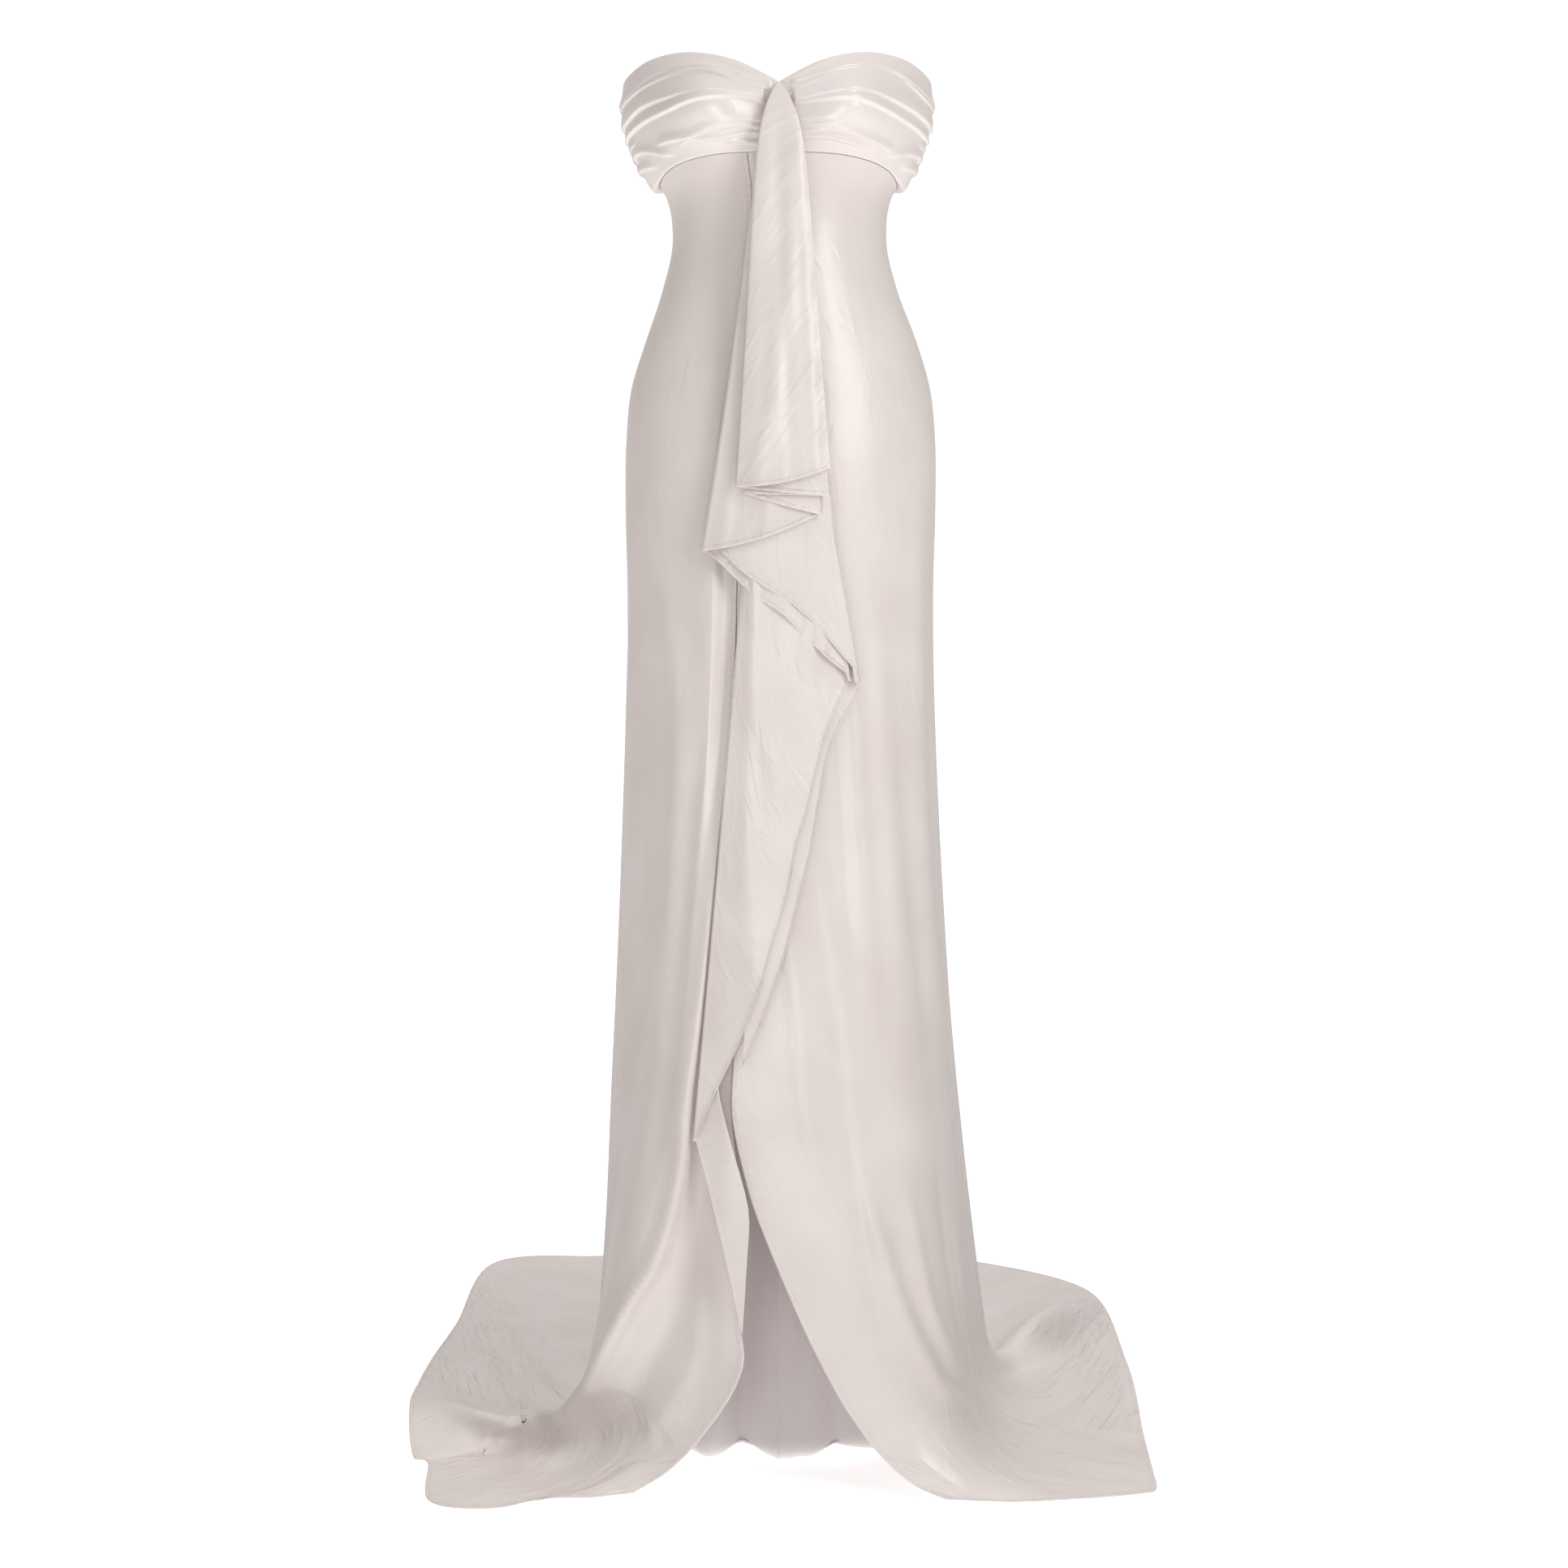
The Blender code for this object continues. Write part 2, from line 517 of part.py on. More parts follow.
def skirt_surface(place, hang, floor):
    """The whole skirt's outer surface over the given strand places and rows, folds included."""
    grid = strand_points(place, hang, floor)
    ends = strand_points(np.array([0.0, float(LAST_STRAND)]), hang, floor)
    stage = np.concatenate([hang, 1 + floor])
    for end, rows, near in (
        (0, LEFT_EDGE, place / LEFT_REACH),
        (1, RIGHT_EDGE, (LAST_STRAND - place) / RIGHT_REACH),
    ):
        x, height = edge_path(rows, ends[end, : len(hang), 2], floor)
        follow = smooth_step(1 - near)[:, None] ** EDGE_POWER * smooth_step(stage / EDGE_START)
        grid[..., 0] += follow * (x - ends[end, :, 0])
        grid[:, len(hang) :, 2] += (follow * (height - ends[end, :, 2]))[:, len(hang) :]
    facing = normals(grid)
    for fold in SKIRT_FOLDS:
        moved = np.clip(stage - MOVE_START, 0, 1)[None, :]
        away = place[:, None] - fold.strand - (fold.hem_strand - fold.strand) * moved
        before = fold.before + (fold.hem_before - fold.before) * moved
        after = fold.after + (fold.hem_after - fold.after) * moved
        width = np.where(away < 0, before, after)
        ridge = np.exp(-((away / width) ** 2)) * fold_height(fold, stage)[None, :]
        tip = np.array([0.0, -fold.lean, 0.0]) * smooth_step(stage - LEAN_START)[None, :, None]
        grid = grid + ridge[..., None] * (facing + tip)
    grid[..., 2] = np.maximum(grid[..., 2], 0)
    return grid


def column_places(start, end):
    """Strand places of a panel's columns but its last: evenly spread, and closer at the crest of each fold."""
    fine = np.linspace(start, end, 400)
    density = np.full_like(fine, COLUMNS_EACH_STRAND)
    for fold in SKIRT_FOLDS:
        wide = (fold.before + fold.after) / 2
        density += COLUMNS_AT_FOLD * np.exp(-(((fine - fold.strand) / wide) ** 2))
    counted = np.concatenate([[0], np.cumsum((density[1:] + density[:-1]) / 2 * np.diff(fine))])
    return np.interp(np.linspace(0, counted[-1], round(counted[-1]), endpoint=False), counted, fine)


def skirt():
    """The four panels of the skirt, cut from one surface with half a seam's gap on each side of a cut."""
    cuts = (0.0, SIDE_LEFT, CENTRE_BACK, SIDE_RIGHT, float(LAST_STRAND))
    spans = [column_places(start, end) for start, end in zip(cuts, cuts[1:])]
    counts = [len(span) for span in spans]
    grid = skirt_surface(np.concatenate([*spans, [cuts[-1]]]), HANG_ROWS, FLOOR_ROWS - 1)
    across = np.gradient(grid, axis=0)
    across *= SEAM / 2 / np.linalg.norm(across, axis=-1, keepdims=True)
    first = 0
    for name, count in zip(("front_left", "back_left", "back_right", "front_right"), counts):
        last = first + count
        panel = grid[first : last + 1].copy()
        panel[0] += across[first]
        panel[-1] -= across[last]
        sheet(name, panel, CLOTH, -1)
        first = last


def fold_line(fold, down):
    """Across and height of one of the cascade's folds, by the share of the way down to its hem."""
    height = KNOT_HEIGHT + (fold.hem_height - KNOT_HEIGHT) * down
    shoulder = fold.shoulder * (1 - np.exp(-down / SHOULDER_DROP))
    across = fold.hem_x * (shoulder + (1 - fold.shoulder) * down**fold.drift)
    knot = math.copysign(KNOT_HALF_WIDTH, fold.hem_x) * (1 - down)
    return across + knot, height


def swing_line(down):
    """Across and height of the third tier's right fold."""
    height = KNOT_HEIGHT + (SWING_FOLD[-1].height - KNOT_HEIGHT) * down
    return by_height(SWING_FOLD, "x", height), height


def near_hem(down):
    """How strongly the cascade's lowest part shows: nothing at first, then faster, and 1 at the hem."""
    return np.clip((down - LOW_START) / (1 - LOW_START), 0, 1) ** 2


def leaf_line(down):
    """Across and height of the roll at the leaf's inner side: level with the long fold, then hanging lower."""
    long_fold = DRAPE_FOLDS[-1].hem_height
    height = KNOT_HEIGHT + (long_fold - KNOT_HEIGHT) * down
    height = height - (long_fold - LEAF_FOLD[-1].height) * near_hem(down)
    return by_height(LEAF_FOLD, "x", height), height


def drape_depth(x, height, stand):
    """Where a layer lies in depth: the drape's back, wrapped round the body, and how far it stands off."""
    return by_height(DRAPE_BACK, "y", height) + DRAPE_WRAP * x * x - stand


def layer_stand(layer, height):
    """How far a layer stands in front of the drape's back, from its place at the knot to its lower one."""
    share = smooth_step((KNOT_HEIGHT - height) / (KNOT_HEIGHT - LOW_HEIGHT))
    return layer.knot + (layer.low - layer.knot) * share


def fold_turn(x, z, side, front, back):
    """Columns of the half-round turn of a fold, between the stands of the layers in front and behind."""
    radius = (front - back) / 2
    columns = []
    for turn in np.radians(TURN_ANGLES):
        stand = (front + back) / 2 - radius * math.sin(turn)
        columns.append(np.stack([x + side * radius * math.cos(turn), drape_depth(x, z, stand), z], axis=-1))
    return columns


def drape_surface(down):
    """The cascade's middle surface: layer after layer, joined by half-round turns at the folds."""
    lines = [fold_line(fold, down) for fold in DRAPE_FOLDS] + [leaf_line(down)]
    lines[THIRD_TIER + 1] = swing_line(down)
    turns = []
    for number, (x, z) in enumerate(lines):
        side = math.copysign(1, x[-1])
        radius = 0
        if 0 < number < len(DRAPE_LAYERS):
            ahead, behind = (layer_stand(layer, z) for layer in DRAPE_LAYERS[number - 1 : number + 1])
            radius = (ahead - behind) / 2
        turns.append((x - side * radius, z, side))
    columns = []
    for number, layer in enumerate(DRAPE_LAYERS):
        (start_x, start_z, _), (end_x, end_z, side) = turns[number], turns[number + 1]
        for step in np.linspace(0, 1, layer.steps + 1):
            bow = math.sin(math.pi * step**layer.late) * near_hem(down)
            x = start_x + (end_x - start_x) * step + layer.hem_bow_x * bow
            z = start_z + (end_z - start_z) * step + layer.hem_bow_height * bow
            swell = layer.swell * math.sin(math.pi * step) * down
            columns.append(np.stack([x, drape_depth(x, z, layer_stand(layer, z) + swell), z], axis=-1))
        if number + 1 < len(DRAPE_LAYERS):
            front, back = (layer_stand(near, end_z) for near in DRAPE_LAYERS[number : number + 2])
            columns += fold_turn(end_x, end_z, side, front, back)
    return np.array(columns)


def facing_surface(down):
    """The facing's middle surface: in front of the third tier, round its right fold, behind the long face."""
    fold_height = FACING_TOP + (FACING_FOLD[-1].height - FACING_TOP) * down
    front = layer_stand(DRAPE_LAYERS[THIRD_TIER], fold_height) + FACING_AHEAD
    back = layer_stand(DRAPE_LAYERS[LONG_FACE], fold_height) - FACING_BEHIND
    fold_x = by_height(FACING_FOLD, "x", fold_height) - (front - back) / 2
    columns = []
    for hem, layer, off, start_x, end_x in (
        (FACING_FRONT, THIRD_TIER, FACING_AHEAD, FACING_TOP_LEFT, fold_x[0]),
        (FACING_BACK, LONG_FACE, -FACING_BEHIND, fold_x[0], FACING_TOP_BACK),
    ):
        for number, end in enumerate(hem):
            share = number / (len(hem) - 1)
            top_x = start_x + (end_x - start_x) * share
            x = top_x + (end.x - top_x) * down
            z = FACING_TOP + (end.height - FACING_TOP) * down
            if end.x == FACING_BACK[0].x:
                x = fold_x
            stand = layer_stand(DRAPE_LAYERS[layer], z) + off
            columns.append(np.stack([x, drape_depth(x, z, stand), z], axis=-1))
        if layer == THIRD_TIER:
            columns += fold_turn(fold_x, fold_height, 1, front, back)
    return np.array(columns)


def front_drape():
    """The cascade and its facing."""
    sheet("front_drape", drape_surface(DRAPE_ROWS)[::-1], DRAPE_CLOTH, 0)
    sheet("front_drape_facing", facing_surface(FACING_ROWS), DRAPE_CLOTH, 0)


def gather_relief(gathers, share, down):
    """How far the gathered cloth stands off, over the way to the side and down from the neckline."""
    stations = np.array([0.0, 0.5, 1.0])
    relief = np.zeros(np.broadcast(share, down).shape)
    for gather in gathers:
        place = curve(share, stations, np.array([gather.centre, gather.middle, gather.side]))
        relief = relief + gather.height * np.exp(-(((down - place) / gather.width) ** 2))
    return relief


def band_grid(start, end, gathers, flatness, columns, rows):
    """Outer and inner surfaces of a gathered band piece from its inner end to the side seam, in degrees."""
    share = np.linspace(0, 1, columns)[:, None]
    down = np.linspace(0, 1, rows)[None, :]
    angle = start + (end - start) * share
    top, foot = around(NECKLINE, angle), around(UNDERBUST, angle)
    height = top + (foot - top) * down
    base, facing = torso(angle, height), torso_normals(angle, height)
    late = smooth_step((share - SIDE_BULK_START) / (1 - SIDE_BULK_START))
    bulk = SIDE_BULK * late * (SIDE_BULK_TOP + (1 - SIDE_BULK_TOP) * down**2)
    fullness = flatness + (1 - flatness) * smooth_step(share * FULLNESS_RISE)
    off = BAND_LIFT + gather_relief(gathers, share, down) * fullness + bulk
    return base + facing * off[..., None], base - facing * CLOTH


def band(name, start, end, gathers, flatness, columns, rows):
    """One gathered piece of the bust band, with half a seam's gap at both ends."""
    outer, inner = band_grid(start, end, gathers, flatness, columns, rows)
    for grid in (outer, inner):
        across = np.gradient(grid, axis=0)
        across /= np.linalg.norm(across, axis=-1, keepdims=True)
        grid[0] += across[0] * SEAM / 2
        grid[-1] -= across[-1] * SEAM / 2
    if end < start:
        outer, inner = outer[::-1], inner[::-1]
    lofted(name, outer, inner)


def bust():
    """The two cups and the two halves of the back band."""
    band("bust_left", 0.0, 90.0, FRONT_GATHERS, 1.0, 13, 26)
    band("bust_right", 0.0, -90.0, FRONT_GATHERS, 1.0, 13, 26)
    band("back_band_left", 180.0, 90.0, BACK_GATHERS, BACK_FLATNESS, 11, 14)
    band("back_band_right", 180.0, 270.0, BACK_GATHERS, BACK_FLATNESS, 11, 14)


def zip_tape():
    """The tape behind the centre back seam, inside the wall, at the wall's own rows."""
    angle = 180 + TAPE_WIDTH_DEGREES * np.array([-1.0, -0.5, 0.0, 0.5, 1.0])[:, None]
    top = around(UNDERBUST, 180.0) - SEAM
    skirt_heights = top + (STRANDS[int(CENTRE_BACK)].bend - top) * HANG_ROWS[:TAPE_ROWS]
    height = np.concatenate([TAPE_HEIGHTS, skirt_heights])[None, :]
    grid = torso(angle, height) - torso_normals(angle, height) * (CLOTH + TAPE_GAP)
    sheet("zip_tape", grid, TAPE_CLOTH, -1, TAPE_NAME, TAPE_COLOUR, TAPE_ROUGHNESS)


def box(size, place):
    """A block of the given size and centre as an object that is not yet a piece."""
    bpy.ops.mesh.primitive_cube_add(size=1, location=place)
    block = bpy.context.object
    block.scale = size
    bpy.ops.object.transform_apply(location=False, rotation=False, scale=True)
    return block


def flat_shape(name, outlines, thickness):
    """A mesh from flat outlines, the first one the edge and the others holes, with the given thickness."""
    outline = bpy.data.curves.new(name, "CURVE")
    outline.dimensions = "2D"
    outline.fill_mode = "BOTH"
    outline.extrude = thickness / 2
    for points in outlines:
        spline = outline.splines.new("POLY")
        spline.points.add(len(points) - 1)
        for point, (x, y) in zip(spline.points, points):
            point.co = (x, y, 0, 1)
        spline.use_cyclic_u = True
    guide = bpy.data.objects.new(name, outline)
    bpy.context.scene.collection.objects.link(guide)
    mesh = bpy.data.meshes.new_from_object(guide.evaluated_get(bpy.context.evaluated_depsgraph_get()))
    bpy.data.objects.remove(guide, do_unlink=True)
    welded = bmesh.new()
    welded.from_mesh(mesh)
    bmesh.ops.remove_doubles(welded, verts=welded.verts, dist=WELD)
    bmesh.ops.recalc_face_normals(welded, faces=welded.faces)
    welded.to_mesh(mesh)
    welded.free()
    return mesh


def rectangle(width, low, high):
    """The corners of a rectangle centred across, counter-clockwise."""
    return [(-width / 2, low), (width / 2, low), (width / 2, high), (-width / 2, high)]


def zip_slider(place):
    """The slider's plate with its bridge, which stands off it like a low handle."""
    width, depth, height = SLIDER_PLATE
    plate = box(SLIDER_PLATE, place - Vector((0, BRIDGE_GAP / 2 + depth / 2, 0)))
    low, high = -BRIDGE_BELOW - BRIDGE_WALL, BRIDGE_ABOVE + BRIDGE_WALL
    out = BRIDGE_GAP / 2 + BRIDGE_WALL
    in_plate = -BRIDGE_GAP / 2 - (BRIDGE_WALL + depth) / 2
    side = [(in_plate, low), (out, low), (out, high), (in_plate, high)]
    hole = [(-BRIDGE_GAP / 2, -BRIDGE_BELOW), (BRIDGE_GAP / 2, -BRIDGE_BELOW)]
    hole += [(BRIDGE_GAP / 2, BRIDGE_ABOVE), (-BRIDGE_GAP / 2, BRIDGE_ABOVE)]
    bridge_mesh = flat_shape("bridge", [side, hole], BRIDGE_WIDTH)
    upright = Matrix(((0, 0, 1, 0), (1, 0, 0, 0), (0, 1, 0, 0), (0, 0, 0, 1)))
    bridge_mesh.transform(Matrix.Translation(place) @ upright)
    bridge = bpy.data.objects.new("bridge", bridge_mesh)
    bpy.data.collections[CUTTERS].objects.link(bridge)
    bridge.hide_render = True
    bridge.display_type = "WIRE"
    plate_mesh = plate.data
    plate_mesh.transform(plate.matrix_world)
    bpy.data.objects.remove(plate, do_unlink=True)
    slider = new_object("zip_slider", plate_mesh, ENAMEL, ENAMEL_COLOUR, ENAMEL_ROUGHNESS)
    join = slider.modifiers.new("Bridge", "BOOLEAN")
    join.operation = "UNION"
    join.object = bridge


def zip_pull(place):
    """The pull: a flat drop with an eye, whose top bar turns under the bridge."""
    half_top, half_low = PULL_TOP_WIDTH / 2, PULL_LOW_WIDTH / 2
    centre = -PULL_LENGTH + half_low
    eye_width, eye_height = PULL_EYE
    turns = np.radians(PULL_ROUND_TURNS)
    edge = [(half_low * math.sin(turn), centre - half_low * math.cos(turn)) for turn in turns]
    edge += [(half_top, -eye_height), (half_top, PULL_BAR), (-half_top, PULL_BAR), (-half_top, -eye_height)]
    eye = rectangle(eye_width, -PULL_BAR - eye_height, -PULL_BAR)
    mesh = flat_shape("zip_pull", [edge, eye], PULL_THICKNESS)
    upright = Matrix(((1, 0, 0, 0), (0, 0, 1, 0), (0, 1, 0, 0), (0, 0, 0, 1)))
    mesh.transform(upright)
    mesh.flip_normals()
    pull = new_object("zip_pull", mesh, ENAMEL, ENAMEL_COLOUR, ENAMEL_ROUGHNESS)
    pull.location = place


def zip_closure():
    """The tape, the slider and the pull. The pull's own origin is on the axis that it turns on."""
    zip_tape()
    heights = np.linspace(-0.5, 0.5, 9) * SLIDER_PLATE[2] + SLIDER_HEIGHT
    top, foot = around(NECKLINE, 180.0), around(UNDERBUST, 180.0)
    down = (heights - top) / (foot - top)
    cloth = torso(180.0, heights)[:, 1] + BAND_LIFT + BACK_FLATNESS * gather_relief(BACK_GATHERS, 0.0, down)
    out = cloth.max() + SLIDER_GAP + SLIDER_PLATE[1] + BRIDGE_GAP / 2
    place = Vector((0, out, SLIDER_HEIGHT - HOLD_HEIGHT))
    zip_slider(place)
    zip_pull(place)


def clear_scene():
    """Removes what the file opened with."""
    for piece in list(bpy.data.objects):
        bpy.data.objects.remove(piece, do_unlink=True)
    for name in (COLLECTION, CUTTERS):
        bpy.context.scene.collection.children.link(bpy.data.collections.new(name))


def main():
    clear_scene()
    skirt()
    bust()
    front_drape()
    zip_closure()


main()
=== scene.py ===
"""Looks of a strapless maxi dress in ivory satin, worn, with no wearer.

Every piece of cloth is a surface worked out on a grid of two parameters, on the form of its solid: the skirt
over strands of cloth and rows down them, the bust over an angle and a share of the band's height, the cascade
over its folds and the way down to its hems. Metres, +Z up, the front faces -Y, left and right are the
wearer's. Heights in the tables are measured up from the train's upper face, as a maker measures a dress form.
"""

from __future__ import annotations

import logging
import math
from dataclasses import dataclass, field
from enum import Enum
from typing import Sequence

import bpy
import numpy as np
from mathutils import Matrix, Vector

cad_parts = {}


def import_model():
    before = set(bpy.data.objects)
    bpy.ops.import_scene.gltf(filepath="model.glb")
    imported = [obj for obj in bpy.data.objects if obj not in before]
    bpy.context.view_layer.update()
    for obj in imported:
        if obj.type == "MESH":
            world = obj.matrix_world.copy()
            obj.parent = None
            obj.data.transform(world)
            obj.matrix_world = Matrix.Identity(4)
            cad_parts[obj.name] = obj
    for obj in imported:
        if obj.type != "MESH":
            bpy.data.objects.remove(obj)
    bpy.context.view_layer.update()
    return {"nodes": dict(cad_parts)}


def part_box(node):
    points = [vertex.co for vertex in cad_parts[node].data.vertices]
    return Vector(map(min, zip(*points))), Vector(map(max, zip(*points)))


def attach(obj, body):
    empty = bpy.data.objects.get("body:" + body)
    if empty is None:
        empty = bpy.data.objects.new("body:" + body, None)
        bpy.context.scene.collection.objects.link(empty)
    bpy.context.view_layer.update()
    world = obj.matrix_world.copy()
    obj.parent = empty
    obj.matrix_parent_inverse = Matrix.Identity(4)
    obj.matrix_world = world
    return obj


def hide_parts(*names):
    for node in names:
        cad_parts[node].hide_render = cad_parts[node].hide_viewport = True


LOG = logging.getLogger("dress")
HOLD_HEIGHT = 1.450  # the bust line, where the origin is
SEAM = 0.0008  # gap between sewn pieces
MM = 0.001
SHARP_ANGLE = math.radians(70)
TAPER = 0.25  # share of a crease's line over which it rises from nothing, at each end


class Body(Enum):
    """The body that every piece of cloth rides on."""

    DRESS = "dress"


class Slot(Enum):
    """The record's material slots."""

    SATIN = "satin"
    GATHERED = "satin_gathered"
    DRAPE = "satin_drape"
    TAPE = "woven_tape"


@dataclass(frozen=True)
class Ring:
    """The body's cut at one height: its reach to each side, to the front and to the back."""

    height: float
    left: float
    right: float
    front: float
    back: float


@dataclass(frozen=True)
class Line:
    """One point of a seam that runs round the body, by its angle from the front."""

    angle: float
    height: float


@dataclass(frozen=True)
class Strand:
    """A strand of the skirt's cloth: its angle on the body, its foot on the floor and its end at the hem."""

    angle: float
    foot_x: float
    foot_y: float
    hem_x: float
    hem_y: float
    bend: float
    fall: float


@dataclass(frozen=True)
class Edge:
    """One point of a free edge or a fold, across the front."""

    height: float
    x: float


@dataclass(frozen=True)
class SkirtFold:
    """A fold down the skirt: its strand hanging and at the hem, widths in strands, heights in metres."""

    strand: float
    hem_strand: float
    before: float
    after: float
    hem_before: float
    hem_after: float
    hip: float
    knee: float
    floor: float
    sweep: float
    hem: float
    lean: float


@dataclass(frozen=True)
class Crease:
    """A ridge (depth above 0) or trough, through (strand place, stage) points of the skirt.

    Its half width runs from the first value to the last one. The tip draws a ridge towards the front.
    """

    points: tuple[tuple[float, float], ...]
    width: float
    depth: float
    last_width: float = 0.0
    tip: float = 0.0


@dataclass(frozen=True)
class DrapeFold:
    """A fold or edge of the cascade, by its outermost line."""

    name: str
    hem_x: float
    hem_height: float
    shoulder: float
    drift: float


@dataclass(frozen=True)
class DrapeLayer:
    """The cloth between two of the cascade's folds."""

    knot: float
    low: float
    sag: float
    swell: float
    steps: int


@dataclass(frozen=True)
class Ripple:
    """A soft fold down a layer of the cascade: its share across, at the top and at the hem, in metres."""

    layer: int
    top: float
    hem: float
    width: float
    height: float


@dataclass(frozen=True)
class Tuck:
    """A fold of the gathered bust: its crest through (share to the side, share down) points.

    The crest is height metres high. It rises over the width above it and drops over the width below it.
    """

    points: tuple[tuple[float, float], ...]
    height: float
    above: float
    below: float
    fade_in: float = 0.04
    fade_out: float = 0.12


@dataclass(frozen=True)
class Pit:
    """A small deep place between two folds at the side seam."""

    share: float
    down: float
    across: float
    tall: float
    depth: float


def column(rows: Sequence, name: str) -> np.ndarray:
    """One named column of a table as an array."""
    return np.array([getattr(row, name) for row in rows], float)


def curve(at: np.ndarray, places: np.ndarray, values: np.ndarray) -> np.ndarray:
    """Cubic between a table's points, with each slope taken from its neighbours.

    Args:
        at: Where to read the curve, any shape.
        places: The table's places, rising.
        values: The table's values.

    Returns:
        The values, in the shape of at.
    """
    at = np.asarray(at, float)
    slopes = np.gradient(values, places)
    index = np.clip(np.searchsorted(places, at) - 1, 0, len(places) - 2)
    span = places[index + 1] - places[index]
    share = np.clip((at - places[index]) / span, 0, 1)
    start, end = values[index], values[index + 1]
    rise = (2 * share**3 - 3 * share**2 + 1) * start + (3 * share**2 - 2 * share**3) * end
    lean = (share**3 - 2 * share**2 + share) * slopes[index] + (share**3 - share**2) * slopes[index + 1]
    return rise + lean * span


def by_height(rows: Sequence, name: str, height: np.ndarray) -> np.ndarray:
    """A column of a table at any height, whichever way the rows run."""
    ordered = sorted(rows, key=lambda row: row.height)
    return curve(height, column(ordered, "height"), column(ordered, name))


def smooth_step(value: np.ndarray) -> np.ndarray:
    """0 below 0, 1 above 1, and an even swing between."""
    value = np.clip(value, 0, 1)
    return value * value * (3 - 2 * value)


def bell(distance: np.ndarray) -> np.ndarray:
    """A soft bump: 1 at 0, falling to both sides as e to the minus square of the distance."""
    return np.exp(-(distance**2))


def unit(vectors: np.ndarray) -> np.ndarray:
    """Vectors of length 1 along the last axis."""
    return vectors / np.maximum(np.linalg.norm(vectors, axis=-1, keepdims=True), 1e-12)


def normals(grid: np.ndarray) -> np.ndarray:
    """Unit normals of a grid, down the columns crossed with across them, which is the cloth's face."""
    return unit(np.cross(np.gradient(grid, axis=1), np.gradient(grid, axis=0)))


def arc_lengths(grid: np.ndarray) -> np.ndarray:
    """Metres across and down the cloth at each grid point: running sums of the steps to it."""
    across = np.linalg.norm(np.diff(grid, axis=0, prepend=grid[:1]), axis=-1).cumsum(0)
    down = np.linalg.norm(np.diff(grid, axis=1, prepend=grid[:, :1]), axis=-1).cumsum(1)
    middle = across[across.shape[0] // 2]
    return np.stack([across - middle[None, :], down], axis=-1)


def quads(columns: int, rows: int, first: int = 0) -> np.ndarray:
    """The faces of a grid, turned so that its normals are those of normals()."""
    corner = first + np.arange(columns * rows).reshape(columns, rows)
    faces = np.stack([corner[:-1, :-1], corner[:-1, 1:], corner[1:, 1:], corner[1:, :-1]], axis=-1)
    return faces.reshape(-1, 4)


